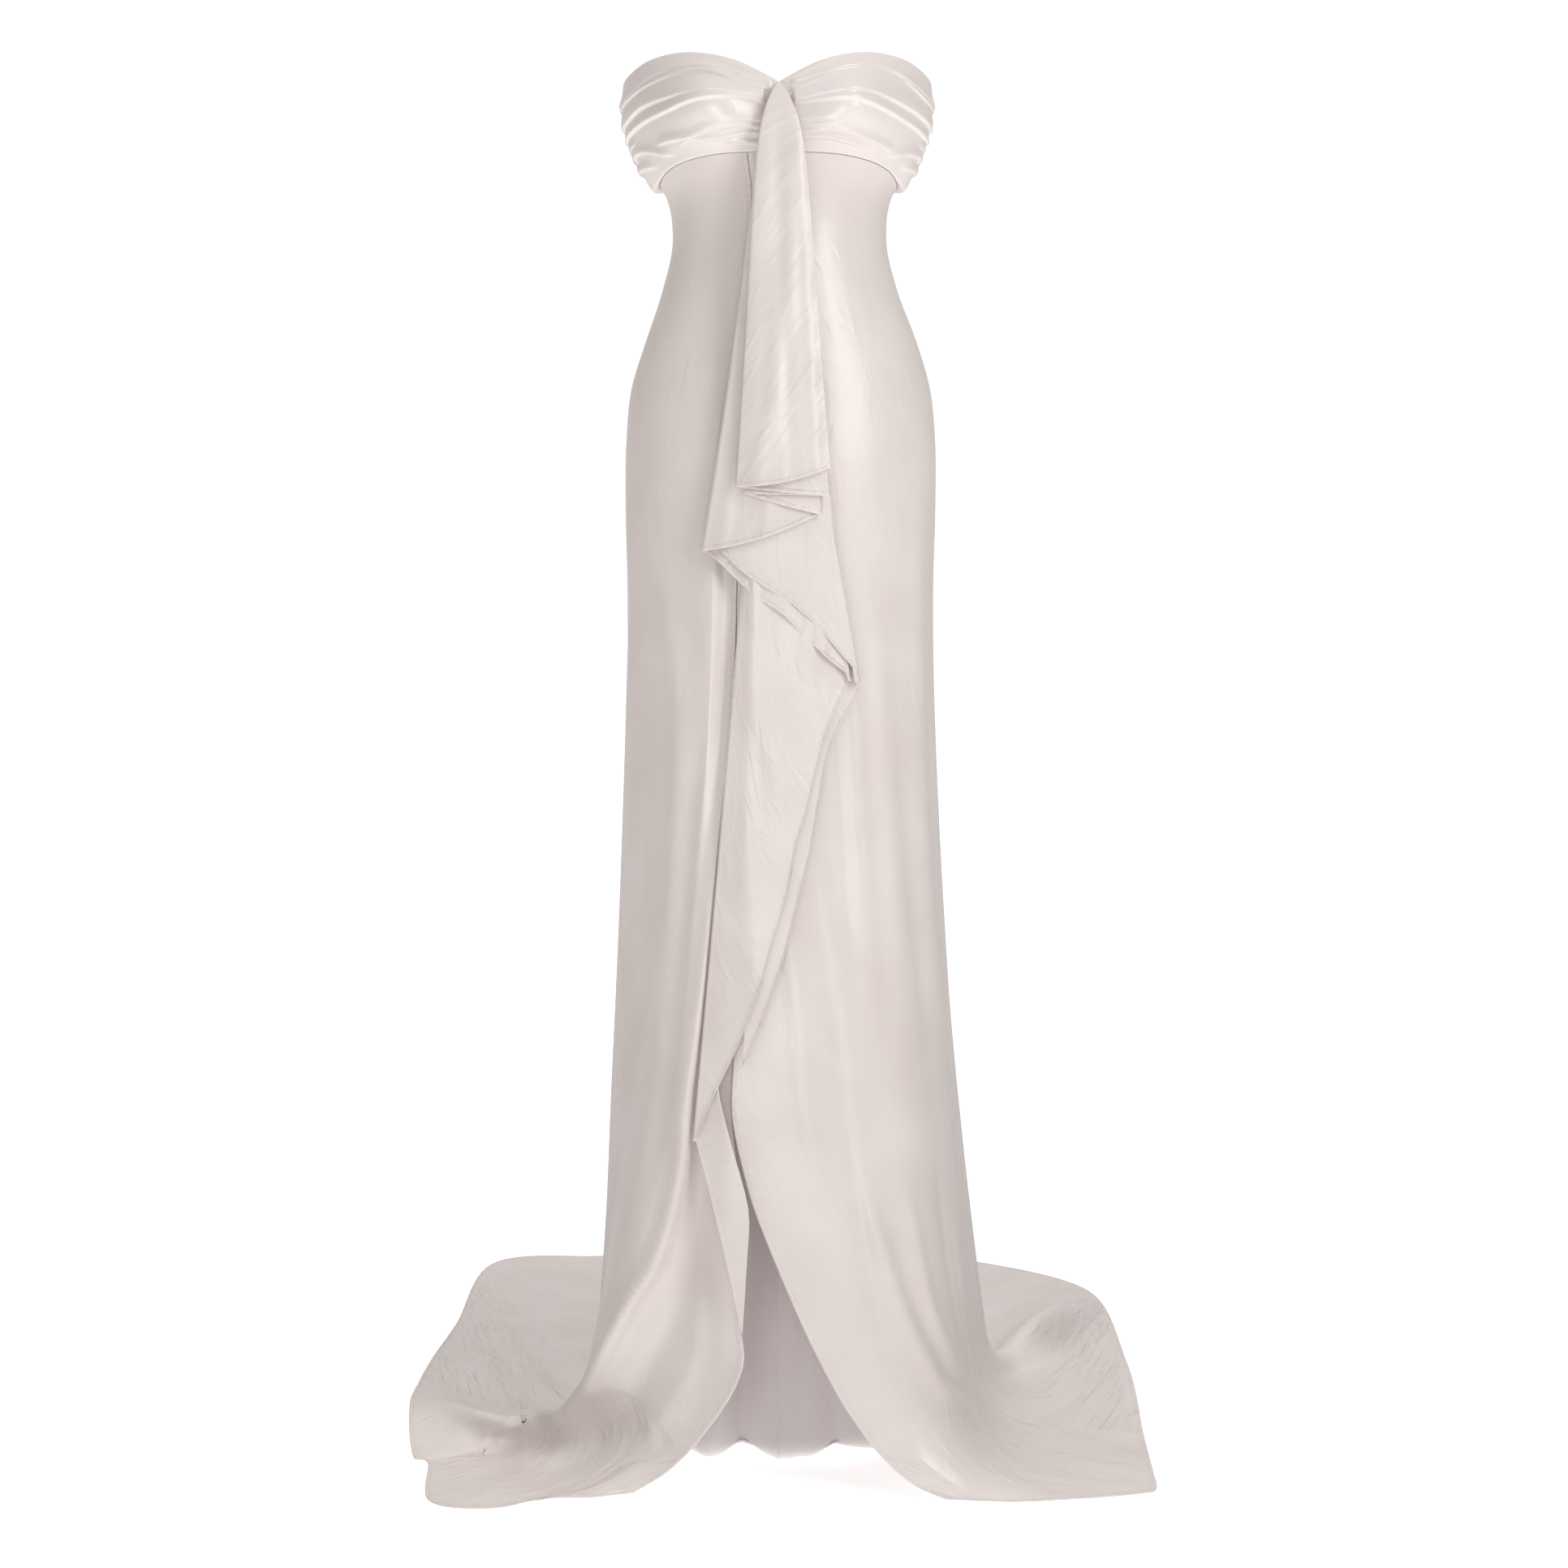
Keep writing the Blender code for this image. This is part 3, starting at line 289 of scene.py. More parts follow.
@dataclass(frozen=True)
class Form:
    """The body's cut that the cloth follows: a ring for each height and two soft cups."""

    rings: tuple[Ring, ...] = (
        Ring(0.900, 0.1617, 0.1652, 0.1110, 0.1120),
        Ring(0.963, 0.1622, 0.1650, 0.1112, 0.1160),
        Ring(1.050, 0.1640, 0.1670, 0.1112, 0.1215),
        Ring(1.119, 0.1628, 0.1663, 0.1102, 0.1225),
        Ring(1.171, 0.1574, 0.1609, 0.1070, 0.1170),
        Ring(1.222, 0.1417, 0.1461, 0.1012, 0.1060),
        Ring(1.274, 0.1243, 0.1261, 0.0940, 0.0935),
        Ring(1.334, 0.1130, 0.1138, 0.0888, 0.0848),
        Ring(1.378, 0.1222, 0.1214, 0.0930, 0.0862),
        Ring(1.399, 0.1365, 0.1345, 0.0965, 0.0880),
        Ring(1.430, 0.1525, 0.1485, 0.1000, 0.0905),
        Ring(1.465, 0.1612, 0.1572, 0.1020, 0.0915),
        Ring(1.497, 0.1620, 0.1585, 0.0990, 0.0890),
        Ring(1.530, 0.1590, 0.1560, 0.0930, 0.0850),
    )
    neckline: tuple[Line, ...] = (
        Line(0, 1.4845), Line(6, 1.4940), Line(14, 1.5050), Line(24, 1.5130), Line(36, 1.5170),
        Line(55, 1.5125), Line(75, 1.4995), Line(90, 1.4900), Line(120, 1.4720), Line(180, 1.4600),
    )
    underbust: tuple[Line, ...] = (
        Line(0, 1.4140), Line(30, 1.4105), Line(45, 1.4050), Line(60, 1.3970), Line(75, 1.3885),
        Line(90, 1.3840), Line(180, 1.3840),
    )
    cup_swell: float = 0.0240
    cup_place: float = 0.0800
    cup_height: float = 1.4620
    cup_spread: float = 0.0430
    cup_rise: float = 0.0360

    def seam(self, rows: Sequence[Line], degrees: np.ndarray) -> np.ndarray:
        """The height of a seam that runs round the body, the same on both sides."""
        from_front = np.abs((np.asarray(degrees, float) + 180) % 360 - 180)
        return curve(from_front, column(rows, "angle"), column(rows, "height"))

    def point(self, degrees: np.ndarray, height: np.ndarray) -> np.ndarray:
        """A point of the cut: an ellipse by the angle from the front, and a soft swell at each cup.

        Args:
            degrees: Angle from the front, positive towards the wearer's left.
            height: Height above the train.

        Returns:
            Points, with x, y and height along the last axis.
        """
        angle = np.radians(degrees)
        left = by_height(self.rings, "right", height)
        right = by_height(self.rings, "left", height)
        side = np.where(np.sin(angle) >= 0, left, right)
        front = by_height(self.rings, "front", height)
        depth = np.where(np.cos(angle) >= 0, front, by_height(self.rings, "back", height))
        x = side * np.sin(angle)
        across = bell((np.abs(x) - self.cup_place) / self.cup_spread)
        swell = self.cup_swell * across * bell((height - self.cup_height) / self.cup_rise)
        y = -depth * np.cos(angle) - swell * smooth_step(np.cos(angle) * 2.5)
        return np.stack(np.broadcast_arrays(x, y, height), axis=-1)

    def facing(self, degrees: np.ndarray, height: np.ndarray) -> np.ndarray:
        """Unit normals of the cut, from points a little to each side and up and down."""
        across = self.point(degrees + 0.5, height) - self.point(degrees - 0.5, height)
        down = self.point(degrees, height - MM) - self.point(degrees, height + MM)
        return unit(np.cross(down, across))


FORM = Form()


def to_linear(code: str) -> tuple[float, float, float]:
    """A linear colour from an sRGB hex value such as #EFE6E0."""
    parts = [int(code[start : start + 2], 16) / 255 for start in (1, 3, 5)]
    return tuple(part / 12.92 if part <= 0.04045 else ((part + 0.055) / 1.055) ** 2.4 for part in parts)


def add_node(
    tree: bpy.types.NodeTree, kind: str, links: dict | None = None, **settings: object
) -> bpy.types.Node:
    """Adds a node with its settings and links.

    Args:
        tree: The material's node tree.
        kind: The node's type, without the ShaderNode in front.
        links: Input name or number to the socket that feeds it.
        settings: Input values by name with _ for blanks, or the node's own properties.

    Returns:
        The new node.
    """
    node = tree.nodes.new("ShaderNode" + kind)
    for name, value in settings.items():
        label = name.replace("_", " ")
        if hasattr(node, name):
            setattr(node, name, value)
        else:
            node.inputs[label].default_value = value
    for name, source in (links or {}).items():
        tree.links.new(source, node.inputs[name])
    return node


@dataclass(frozen=True)
class SatinFinish:
    """Washed acetate satin: long floats on the face throw a soft sheen down the cloth. The back is duller.

    The face is a warm ivory. Where the cloth was folded it keeps slow waves about 80 mm wide and crinkles
    8 to 17 mm wide, drawn out along the warp. Threads lie 0.1 mm apart, too fine to show, so the slubs along
    them are drawn 1.5 mm apart. Near a hem the sewing gathers the cloth into puckers 8 mm apart.
    """

    name: str
    face: str = "#E6DEDB"
    shade: str = "#DFD5D0"
    roughness: float = 0.33
    specular: float = 0.75
    sheen: float = 0.10
    wave: float = 0.0040
    crinkle: float = 0.0014
    slub: float = 0.00007
    pucker: float = 0.0012
    lean: float = 0.25
    pucker_reach: float = 0.014
    twist: float = 0.9
    wave_scale: tuple[float, float, float] = (13.0, 5.5, 1.0)
    crinkle_scale: tuple[float, float, float] = (58.0, 24.0, 1.0)
    pucker_scale: tuple[float, float, float] = (125.0, 125.0, 1.0)
    slub_scale: tuple[float, float, float] = (660.0, 40.0, 1.0)

    def build(self) -> bpy.types.Material:
        """The material: colour from a slow noise, height from waves, crinkles, puckers and slubs."""
        material = bpy.data.materials.new(self.name)
        material.use_nodes = True
        tree = material.node_tree
        shader = tree.nodes["Principled BSDF"]
        cloth = add_node(tree, "UVMap", uv_map="Cloth")
        slow = add_node(tree, "TexNoise", {"Vector": cloth.outputs[0]}, Scale=9.0, Detail=4.0)
        tone = add_node(tree, "ValToRGB", {"Fac": slow.outputs["Fac"]})
        tone.color_ramp.elements[0].position = 0.30
        tone.color_ramp.elements[0].color = (*to_linear(self.shade), 1)
        tone.color_ramp.elements[1].position = 0.70
        tone.color_ramp.elements[1].color = (*to_linear(self.face), 1)
        tree.links.new(tone.outputs["Color"], shader.inputs["Base Color"])
        shader.inputs["Roughness"].default_value = self.roughness
        shader.inputs["Specular IOR Level"].default_value = self.specular
        shader.inputs["Sheen Weight"].default_value = self.sheen
        shader.inputs["Sheen Roughness"].default_value = 0.4
        tree.links.new(self.height(tree, cloth), shader.inputs["Normal"])
        return material

    def height(self, tree: bpy.types.NodeTree, cloth: bpy.types.Node) -> bpy.types.NodeSocket:
        """Waves and crinkles as strong as the crinkle attribute says, then puckers, then slubs all over."""
        mask = add_node(tree, "Attribute", attribute_name="crinkle").outputs["Fac"]
        edge = add_node(tree, "Attribute", attribute_name="edge").outputs["Fac"]
        near = add_node(tree, "MapRange", {"Value": edge}, From_Max=self.pucker_reach, To_Min=1.0, To_Max=0.0)
        place = {"Vector": cloth.outputs[0]}
        normal = None
        for size, depth, detail, kind, strength in (
            (self.wave_scale, self.wave, 2.0, "FBM", mask),
            (self.crinkle_scale, self.crinkle, 3.0, "RIDGED_MULTIFRACTAL", mask),
            (self.pucker_scale, self.pucker, 1.0, "FBM", near.outputs[0]),
        ):
            drawn = add_node(tree, "Mapping", place, Rotation=(0, 0, self.lean), Scale=size)
            noise = add_node(tree, "TexNoise", {"Vector": drawn.outputs[0]}, noise_type=kind, Detail=detail)
            noise.inputs["Scale"].default_value = 1.0
            noise.inputs["Distortion"].default_value = self.twist
            high = add_node(tree, "Math", {0: noise.outputs["Fac"], 1: strength}, operation="MULTIPLY")
            links = {"Height": high.outputs[0]} | ({"Normal": normal} if normal else {})
            normal = add_node(tree, "Bump", links, Strength=1.0, Distance=depth).outputs[0]
        threads = add_node(tree, "Mapping", place, Scale=self.slub_scale)
        slub = add_node(tree, "TexNoise", {"Vector": threads.outputs[0]}, Scale=1.0, Detail=2.0)
        links = {"Height": slub.outputs["Fac"], "Normal": normal}
        return add_node(tree, "Bump", links, Strength=1.0, Distance=self.slub).outputs[0]


@dataclass(frozen=True)
class Finishes:
    """The dress's materials, made once."""

    satin: bpy.types.Material
    back: bpy.types.Material
    drape: bpy.types.Material
    gathered: bpy.types.Material
    thread: bpy.types.Material
    tape: bpy.types.Material
    coil: bpy.types.Material
    enamel: bpy.types.Material


@dataclass(frozen=True)
class TrimFinish:
    """A small hard or woven piece: two tones in slow patches, and a grain with its own size each way.

    The tape's ribs are 1 mm apart and run across it. The coil and the thread are drawn filaments, which
    shine a little. The enamel is baked on zinc and has worn to a warmer tone in places.
    """

    name: str
    colour: str
    worn: str
    roughness: float
    patches: float
    grain: tuple[float, float, float]
    depth: float
    glow: float = 0.0

    def build(self) -> bpy.types.Material:
        """The material: both patterns are noise on Object coordinates."""
        material = bpy.data.materials.new(self.name)
        material.use_nodes = True
        tree = material.node_tree
        shader = tree.nodes["Principled BSDF"]
        place = add_node(tree, "TexCoord").outputs["Object"]
        slow = add_node(tree, "TexNoise", {"Vector": place}, Scale=self.patches, Detail=3.0)
        tone = add_node(tree, "ValToRGB", {"Fac": slow.outputs["Fac"]})
        for stop, spot, colour in zip(tone.color_ramp.elements, (0.35, 0.62), (self.worn, self.colour)):
            stop.position = spot
            stop.color = (*to_linear(colour), 1)
        tree.links.new(tone.outputs["Color"], shader.inputs["Base Color"])
        shader.inputs["Roughness"].default_value = self.roughness
        shader.inputs["Emission Color"].default_value = (1, 1, 1, 1)
        shader.inputs["Emission Strength"].default_value = self.glow
        drawn = add_node(tree, "Mapping", {"Vector": place}, Scale=self.grain)
        grain = add_node(tree, "TexNoise", {"Vector": drawn.outputs[0]}, Scale=1.0, Detail=2.0)
        bump = add_node(tree, "Bump", {"Height": grain.outputs["Fac"]}, Strength=1.0, Distance=self.depth)
        tree.links.new(bump.outputs[0], shader.inputs["Normal"])
        return material


def make_finishes() -> Finishes:
    """All of the dress's materials."""
    fine, rib, tooth, bead = (2400.0,) * 3, (500.0, 500.0, 1000.0), (900.0,) * 3, (700.0,) * 3
    dull = SatinFinish("Satin_back", "#DFD8D8", "#D8D0D0", 0.6, 0.4, 0.1, 0.0016, 0.0004)
    drape = SatinFinish("Washed_satin_cascade", "#E4DCD8", "#DDD3CE", 0.38, 0.75, 0.1, 0.0048, 0.0018)
    gathered = SatinFinish("Washed_satin_gathered", "#E9E1DF", "#E4DBD7", 0.28, 0.9, 0.1, 0.0016, 0.0005)
    return Finishes(
        satin=SatinFinish("Washed_satin_face").build(),
        back=dull.build(),
        drape=drape.build(),
        gathered=gathered.build(),
        thread=TrimFinish("Polyester_thread", "#E4DAD4", "#DACFC8", 0.45, 60.0, fine, 0.00003).build(),
        tape=TrimFinish("Woven_polyester_tape", "#E6DDD6", "#DDD2CA", 0.8, 40.0, rib, 0.0002).build(),
        coil=TrimFinish("Polyester_coil", "#E9E2DC", "#E0D8D1", 0.35, 80.0, tooth, 0.00002).build(),
        enamel=TrimFinish("Enamelled_zinc", "#EBE3DD", "#DCD0C6", 0.25, 220.0, bead, 0.00003).build(),
    )


def add_piece(
    name: str,
    points: np.ndarray,
    faces: np.ndarray,
    materials: Sequence[bpy.types.Material],
    slots: np.ndarray | None = None,
) -> bpy.types.Object:
    """Adds a mesh object at the origin, smooth, with its place in its mesh.

    Args:
        name: The piece's name.
        points: Its points in metres, heights measured from the train.
        faces: Corner numbers of its faces.
        materials: Its material slots.
        slots: The slot of each face, the first if left out.

    Returns:
        The linked object.
    """
    mesh = bpy.data.meshes.new(name)
    mesh.from_pydata((points - [0, 0, HOLD_HEIGHT]).tolist(), [], faces.tolist())
    for material in materials:
        mesh.materials.append(material)
    if slots is not None:
        mesh.polygons.foreach_set("material_index", slots.astype(np.int32))
    mesh.shade_smooth()
    mesh.update()
    piece = bpy.data.objects.new(name, mesh)
    bpy.context.scene.collection.objects.link(piece)
    return piece


def shell(
    name: str,
    outer: np.ndarray,
    inner: np.ndarray,
    materials: Sequence[bpy.types.Material],
    crinkle: np.ndarray,
    edge: np.ndarray,
) -> bpy.types.Object:
    """A closed shell of cloth between two grids, face and back, sewn shut round its rim.

    Args:
        name: The piece's name.
        outer: Grid of the face.
        inner: Grid of the back, the same shape.
        materials: The face's finish and the back's.
        crinkle: How crinkled the cloth is at each grid point.
        edge: Metres from each grid point to the nearest hem.

    Returns:
        The object, with a Cloth UV map in metres and crinkle and edge attributes.
    """
    columns, rows = outer.shape[:2]
    count = columns * rows
    corner = np.arange(count).reshape(columns, rows)
    rim = np.concatenate([corner[:, 0], corner[-1, 1:], corner[-2::-1, -1], corner[0, -2:0:-1]])
    following = np.roll(rim, -1)
    sewn = np.stack([rim, following, following + count, rim + count], axis=-1)
    front = quads(columns, rows)
    faces = np.concatenate([front, quads(columns, rows, count)[:, ::-1], sewn])
    sides = np.zeros(len(faces))
    sides[len(front) : 2 * len(front)] = 1
    points = np.concatenate([outer.reshape(-1, 3), inner.reshape(-1, 3)])
    piece = add_piece(name, points, faces, materials, sides)
    mesh = piece.data
    flat = arc_lengths(outer).reshape(-1, 2)
    both = np.concatenate([flat, flat])
    corners = np.empty(len(mesh.loops), np.int32)
    mesh.loops.foreach_get("vertex_index", corners)
    layer = mesh.uv_layers.new(name="Cloth")
    layer.data.foreach_set("uv", both[corners].astype(np.float32).ravel())
    for name, values in (("crinkle", crinkle), ("edge", edge)):
        values = np.broadcast_to(values, (columns, rows)).reshape(-1)
        attribute = mesh.attributes.new(name, "FLOAT", "POINT")
        attribute.data.foreach_set("value", np.concatenate([values, values]).astype(np.float32))
    mesh.set_sharp_from_angle(angle=SHARP_ANGLE)
    return piece


def metres_to_end(grid: np.ndarray, axis: int) -> np.ndarray:
    """Metres from each point to the last one on its line of the grid, as a running sum of the steps."""
    steps = np.linalg.norm(np.diff(grid, axis=axis), axis=-1)
    sums = np.flip(np.flip(steps, axis).cumsum(axis), axis)
    return np.concatenate([sums, np.zeros_like(grid.take([0], axis)[..., 0])], axis=axis)


def grid_area(grid: np.ndarray) -> float:
    """Square metres of a grid: half the length of the cross product of each cell's diagonals."""
    diagonals = np.cross(grid[1:, 1:] - grid[:-1, :-1], grid[1:, :-1] - grid[:-1, 1:])
    return float(np.linalg.norm(diagonals, axis=-1).sum() / 2)


def line_near_hem(grid: np.ndarray, to_hem: np.ndarray, distance: float) -> np.ndarray:
    """Points of a grid's columns at a distance from the hem, between the two rows on its sides."""
    above = np.clip((to_hem > distance).sum(1) - 1, 0, to_hem.shape[1] - 2)[:, None]
    high, low = (np.take_along_axis(to_hem, above + step, 1)[:, 0] for step in (0, 1))
    share = np.clip((high - distance) / np.maximum(high - low, 1e-9), 0, 1)[:, None]
    first, second = (np.take_along_axis(grid, (above + step)[..., None], 1)[:, 0] for step in (0, 1))
    return first + (second - first) * share


@dataclass(frozen=True)
class BlockRow:
    """Many small blocks along a line, as one mesh: stitches, or the teeth of a coil.

    A block has three cross-sections, small, full and small, square to the line. Real stitches lie 2.5 mm
    apart and are 0.2 mm thick. These lie 3 mm apart and are twice as thick, so that they show.
    """

    pitch: float = 0.0030
    length: float = 0.0021
    half_width: float = 0.00026
    rise: float = 0.00022
    narrow: float = 0.45

    def along(self, path: np.ndarray, facing: np.ndarray) -> tuple[np.ndarray, np.ndarray]:
        """Blocks every pitch of a path's length, from points and the surface's normals there.

        Args:
            path: Points of the line.
            facing: Unit normals at them.

        Returns:
            The blocks' points and their faces.
        """
        run = np.concatenate([[0], np.cumsum(np.linalg.norm(np.diff(path, axis=0), axis=1))])
        places = np.arange(self.pitch, run[-1] - self.pitch, self.pitch)

        def read(values: np.ndarray, at: np.ndarray) -> np.ndarray:
            """Values at lengths along the path."""
            return np.stack([np.interp(at, run, values[:, axis]) for axis in range(3)], axis=-1)

        middle, normal = read(path, places), unit(read(facing, places))
        forward = unit(read(path, places + self.length / 2) - read(path, places - self.length / 2))
        side = unit(np.cross(normal, forward))
        rings = []
        for step, size in ((-0.5, self.narrow), (0.0, 1.0), (0.5, self.narrow)):
            centre = middle + forward * self.length * step
            for across, up in ((1, -1), (1, 1), (-1, 1), (-1, -1)):
                rings.append(centre + side * self.half_width * across * size + normal * self.rise * up * size)
        points = np.stack(rings, axis=1)
        turn = np.arange(4)
        ahead = np.roll(turn, -1)
        band = np.stack([turn, ahead, ahead + 4, turn + 4], axis=-1)
        block = np.concatenate([band, band + 4, [[3, 2, 1, 0]], [[8, 9, 10, 11]]])
        numbers = block[None] + 12 * np.arange(len(places))[:, None, None]
        return points.reshape(-1, 3), numbers.reshape(-1, 4)

    def build(
        self,
        name: str,
        lines: Sequence[tuple[np.ndarray, np.ndarray]],
        finish: bpy.types.Material,
        slot: Slot,
    ) -> bpy.types.Object:
        """One piece of blocks along all of the lines, riding on the dress."""
        points, faces, count = [], [], 0
        for path, facing in lines:
            new_points, new_faces = self.along(path, facing)
            points.append(new_points)
            faces.append(new_faces + count)
            count += len(new_points)
        piece = add_piece(name, np.concatenate(points), np.concatenate(faces), (finish,))
        put_on_dress(piece)
        LOG.info("%s: %d blocks", name, count // 12)
        return piece


@dataclass(frozen=True)
class Cut:
    """The flat piece that cloth was cut from: its width, its length and the share of them that it fills."""

    width: float
    length: float
    fill: float = 1.0

    def declare(self, piece: bpy.types.Object, held: str) -> None:
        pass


def put_on_dress(piece: bpy.types.Object, node: str = "") -> None:
    """Lets a piece stand for its solid, if it has one, and ride on the dress."""
    if node:
        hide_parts(node)
    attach(piece, Body.DRESS.value)


def report(piece: bpy.types.Object, grid: np.ndarray) -> None:
    """Logs a piece of cloth: its points and the area of its face."""
    LOG.info("%s: %d points, %.3f square metres", piece.name, len(piece.data.vertices), grid_area(grid))


@dataclass
class Skirt:
    """The skirt: four panels of one surface over strands of cloth, with its folds, creases and hem."""

    finishes: Finishes
    cloth: float = 0.0007
    hem_cloth: float = 0.0016
    hem_width: float = 0.006
    hip_height: float = 0.900
    bend_share: float = 0.17
    left_reach: float = 3.0
    right_reach: float = 4.2
    edge_start: float = 0.12
    move_start: float = 0.75
    side_left: float = 6.0
    centre_back: float = 11.0
    side_right: float = 16.0
    hem_rise: float = 0.0003
    edge_tuck: float = 0.0004
    join: float = 0.00003
    seam_dip: float = 0.0014
    move_round: float = 0.08
    tip_start: float = 0.6
    crease_start: float = 0.04
    crease_reach: float = 0.10
    line_samples: int = 241
    hanging_share: float = 0.62
    least_hem_step: float = 0.03
    hanging_crinkle: float = 0.35
    crinkle_stage: float = 0.9
    crinkle_rise: float = 0.3
    fine: tuple[float, ...] = (0.0, 0.001, 0.0022, 0.0036, 0.0052, 0.0066, 0.0085, 0.0120)
    stitch_line: int = 5
    stitches: list[tuple[np.ndarray, np.ndarray]] = field(default_factory=list)
    cuts: dict[str, Cut] = field(default_factory=lambda: {
        "front_left": Cut(0.60, 1.68, 0.48),
        "front_right": Cut(0.66, 1.80, 0.36),
        "back_left": Cut(1.10, 2.45, 0.33),
        "back_right": Cut(1.10, 2.45, 0.33),
    })
    stations: tuple[float, ...] = (0.12, 0.36, 0.68, 1.0, 1.4, 2.0)
    strands: tuple[Strand, ...] = (
        Strand(-13.0, 0.150, -0.118, 0.1760, -0.126, 0.060, 2.40),
        Strand(12.0, 0.172, -0.112, 0.2450, -0.133, 0.090, 1.70),
        Strand(34.0, 0.193, -0.076, 0.3180, -0.120, 0.110, 1.45),
        Strand(52.0, 0.206, 0.000, 0.3850, -0.099, 0.105, 1.40),
        Strand(60.0, 0.211, 0.040, 0.4035, -0.080, 0.100, 1.40),
        Strand(67.0, 0.216, 0.080, 0.4070, -0.010, 0.095, 1.40),
        Strand(88.0, 0.232, 0.215, 0.4120, 0.150, 0.080, 1.40),
        Strand(110.0, 0.251, 0.390, 0.4250, 0.500, 0.060, 1.45),
        Strand(128.0, 0.236, 0.420, 0.4080, 0.900, 0.060, 1.50),
        Strand(146.0, 0.168, 0.170, 0.2700, 1.095, 0.060, 1.50),
        Strand(163.0, 0.085, 0.024, 0.1200, 1.135, 0.030, 1.40),
        Strand(180.0, 0.000, 0.018, 0.0000, 1.150, 0.026, 1.30),
        Strand(197.0, -0.078, 0.022, -0.1300, 1.145, 0.030, 1.40),
        Strand(214.0, -0.148, 0.130, -0.2600, 1.125, 0.050, 1.45),
        Strand(232.0, -0.194, 0.255, -0.3960, 1.082, 0.055, 1.40),
        Strand(250.0, -0.213, 0.250, -0.4140, 0.700, 0.060, 1.25),
        Strand(270.0, -0.206, 0.200, -0.4260, 0.330, 0.070, 1.15),
        Strand(288.0, -0.207, 0.130, -0.4180, 0.150, 0.075, 1.15),
        Strand(298.0, -0.206, 0.095, -0.4035, 0.043, 0.080, 1.15),
        Strand(303.0, -0.204, 0.078, -0.3860, 0.026, 0.085, 1.18),
        Strand(317.0, -0.195, 0.030, -0.3700, -0.127, 0.100, 1.25),
        Strand(329.0, -0.180, -0.022, -0.3060, -0.158, 0.100, 1.32),
        Strand(337.0, -0.158, -0.060, -0.2440, -0.120, 0.085, 1.42),
        Strand(342.0, -0.137, -0.082, -0.1960, -0.116, 0.070, 1.60),
        Strand(346.7, -0.105, -0.104, -0.1550, -0.101, 0.060, 1.80),
    )
    left_edge: tuple[Edge, ...] = (
        Edge(1.4138, -0.0310), Edge(1.2200, -0.0370), Edge(1.1000, -0.0405), Edge(0.9500, -0.0436),
        Edge(0.7000, -0.0470), Edge(0.4670, -0.0484), Edge(0.4090, -0.0500), Edge(0.3530, -0.0394),
        Edge(0.3180, -0.0298), Edge(0.2400, 0.0001), Edge(0.1620, 0.0345), Edge(0.0970, 0.0690),
        Edge(0.0446, 0.1073), Edge(0.0123, 0.1461), Edge(0.0000, 0.1762),
    )
    right_edge: tuple[Edge, ...] = (
        Edge(1.4138, -0.0316), Edge(1.2200, -0.0376), Edge(1.1000, -0.0411), Edge(0.9500, -0.0442),
        Edge(0.7000, -0.0476), Edge(0.4670, -0.0490), Edge(0.4090, -0.0507), Edge(0.3530, -0.0450),
        Edge(0.2500, -0.0415), Edge(0.1670, -0.0393), Edge(0.1449, -0.0375), Edge(0.1144, -0.0471),
        Edge(0.0796, -0.0686), Edge(0.0429, -0.0987), Edge(0.0228, -0.1202), Edge(0.0000, -0.1550),
    )
    folds: tuple[SkirtFold, ...] = (
        SkirtFold(21.9, 16.8, 1.60, 0.66, 0.90, 0.80, 0.009, 0.020, 0.035, 0.038, 0.028, 0.2),
        SkirtFold(15.3, 15.6, 0.60, 0.60, 0.45, 0.45, 0.000, 0.000, 0.004, 0.018, 0.008, 0.3),
        SkirtFold(7.45, 7.80, 0.36, 0.50, 0.36, 0.50, 0.000, 0.000, 0.008, 0.048, 0.004, 1.0),
        SkirtFold(3.40, 3.40, 1.60, 1.60, 1.60, 1.60, 0.000, 0.006, 0.010, 0.004, 0.000, 0.0),
        SkirtFold(10.2, 10.2, 0.34, 0.34, 0.34, 0.34, 0.000, 0.005, 0.020, 0.016, 0.003, 0.0),
        SkirtFold(11.5, 11.5, 0.30, 0.30, 0.30, 0.30, 0.000, 0.005, 0.022, 0.016, 0.003, 0.0),
        SkirtFold(13.3, 13.3, 0.50, 0.50, 0.50, 0.50, 0.000, 0.008, 0.016, 0.012, 0.002, 0.0),
    )
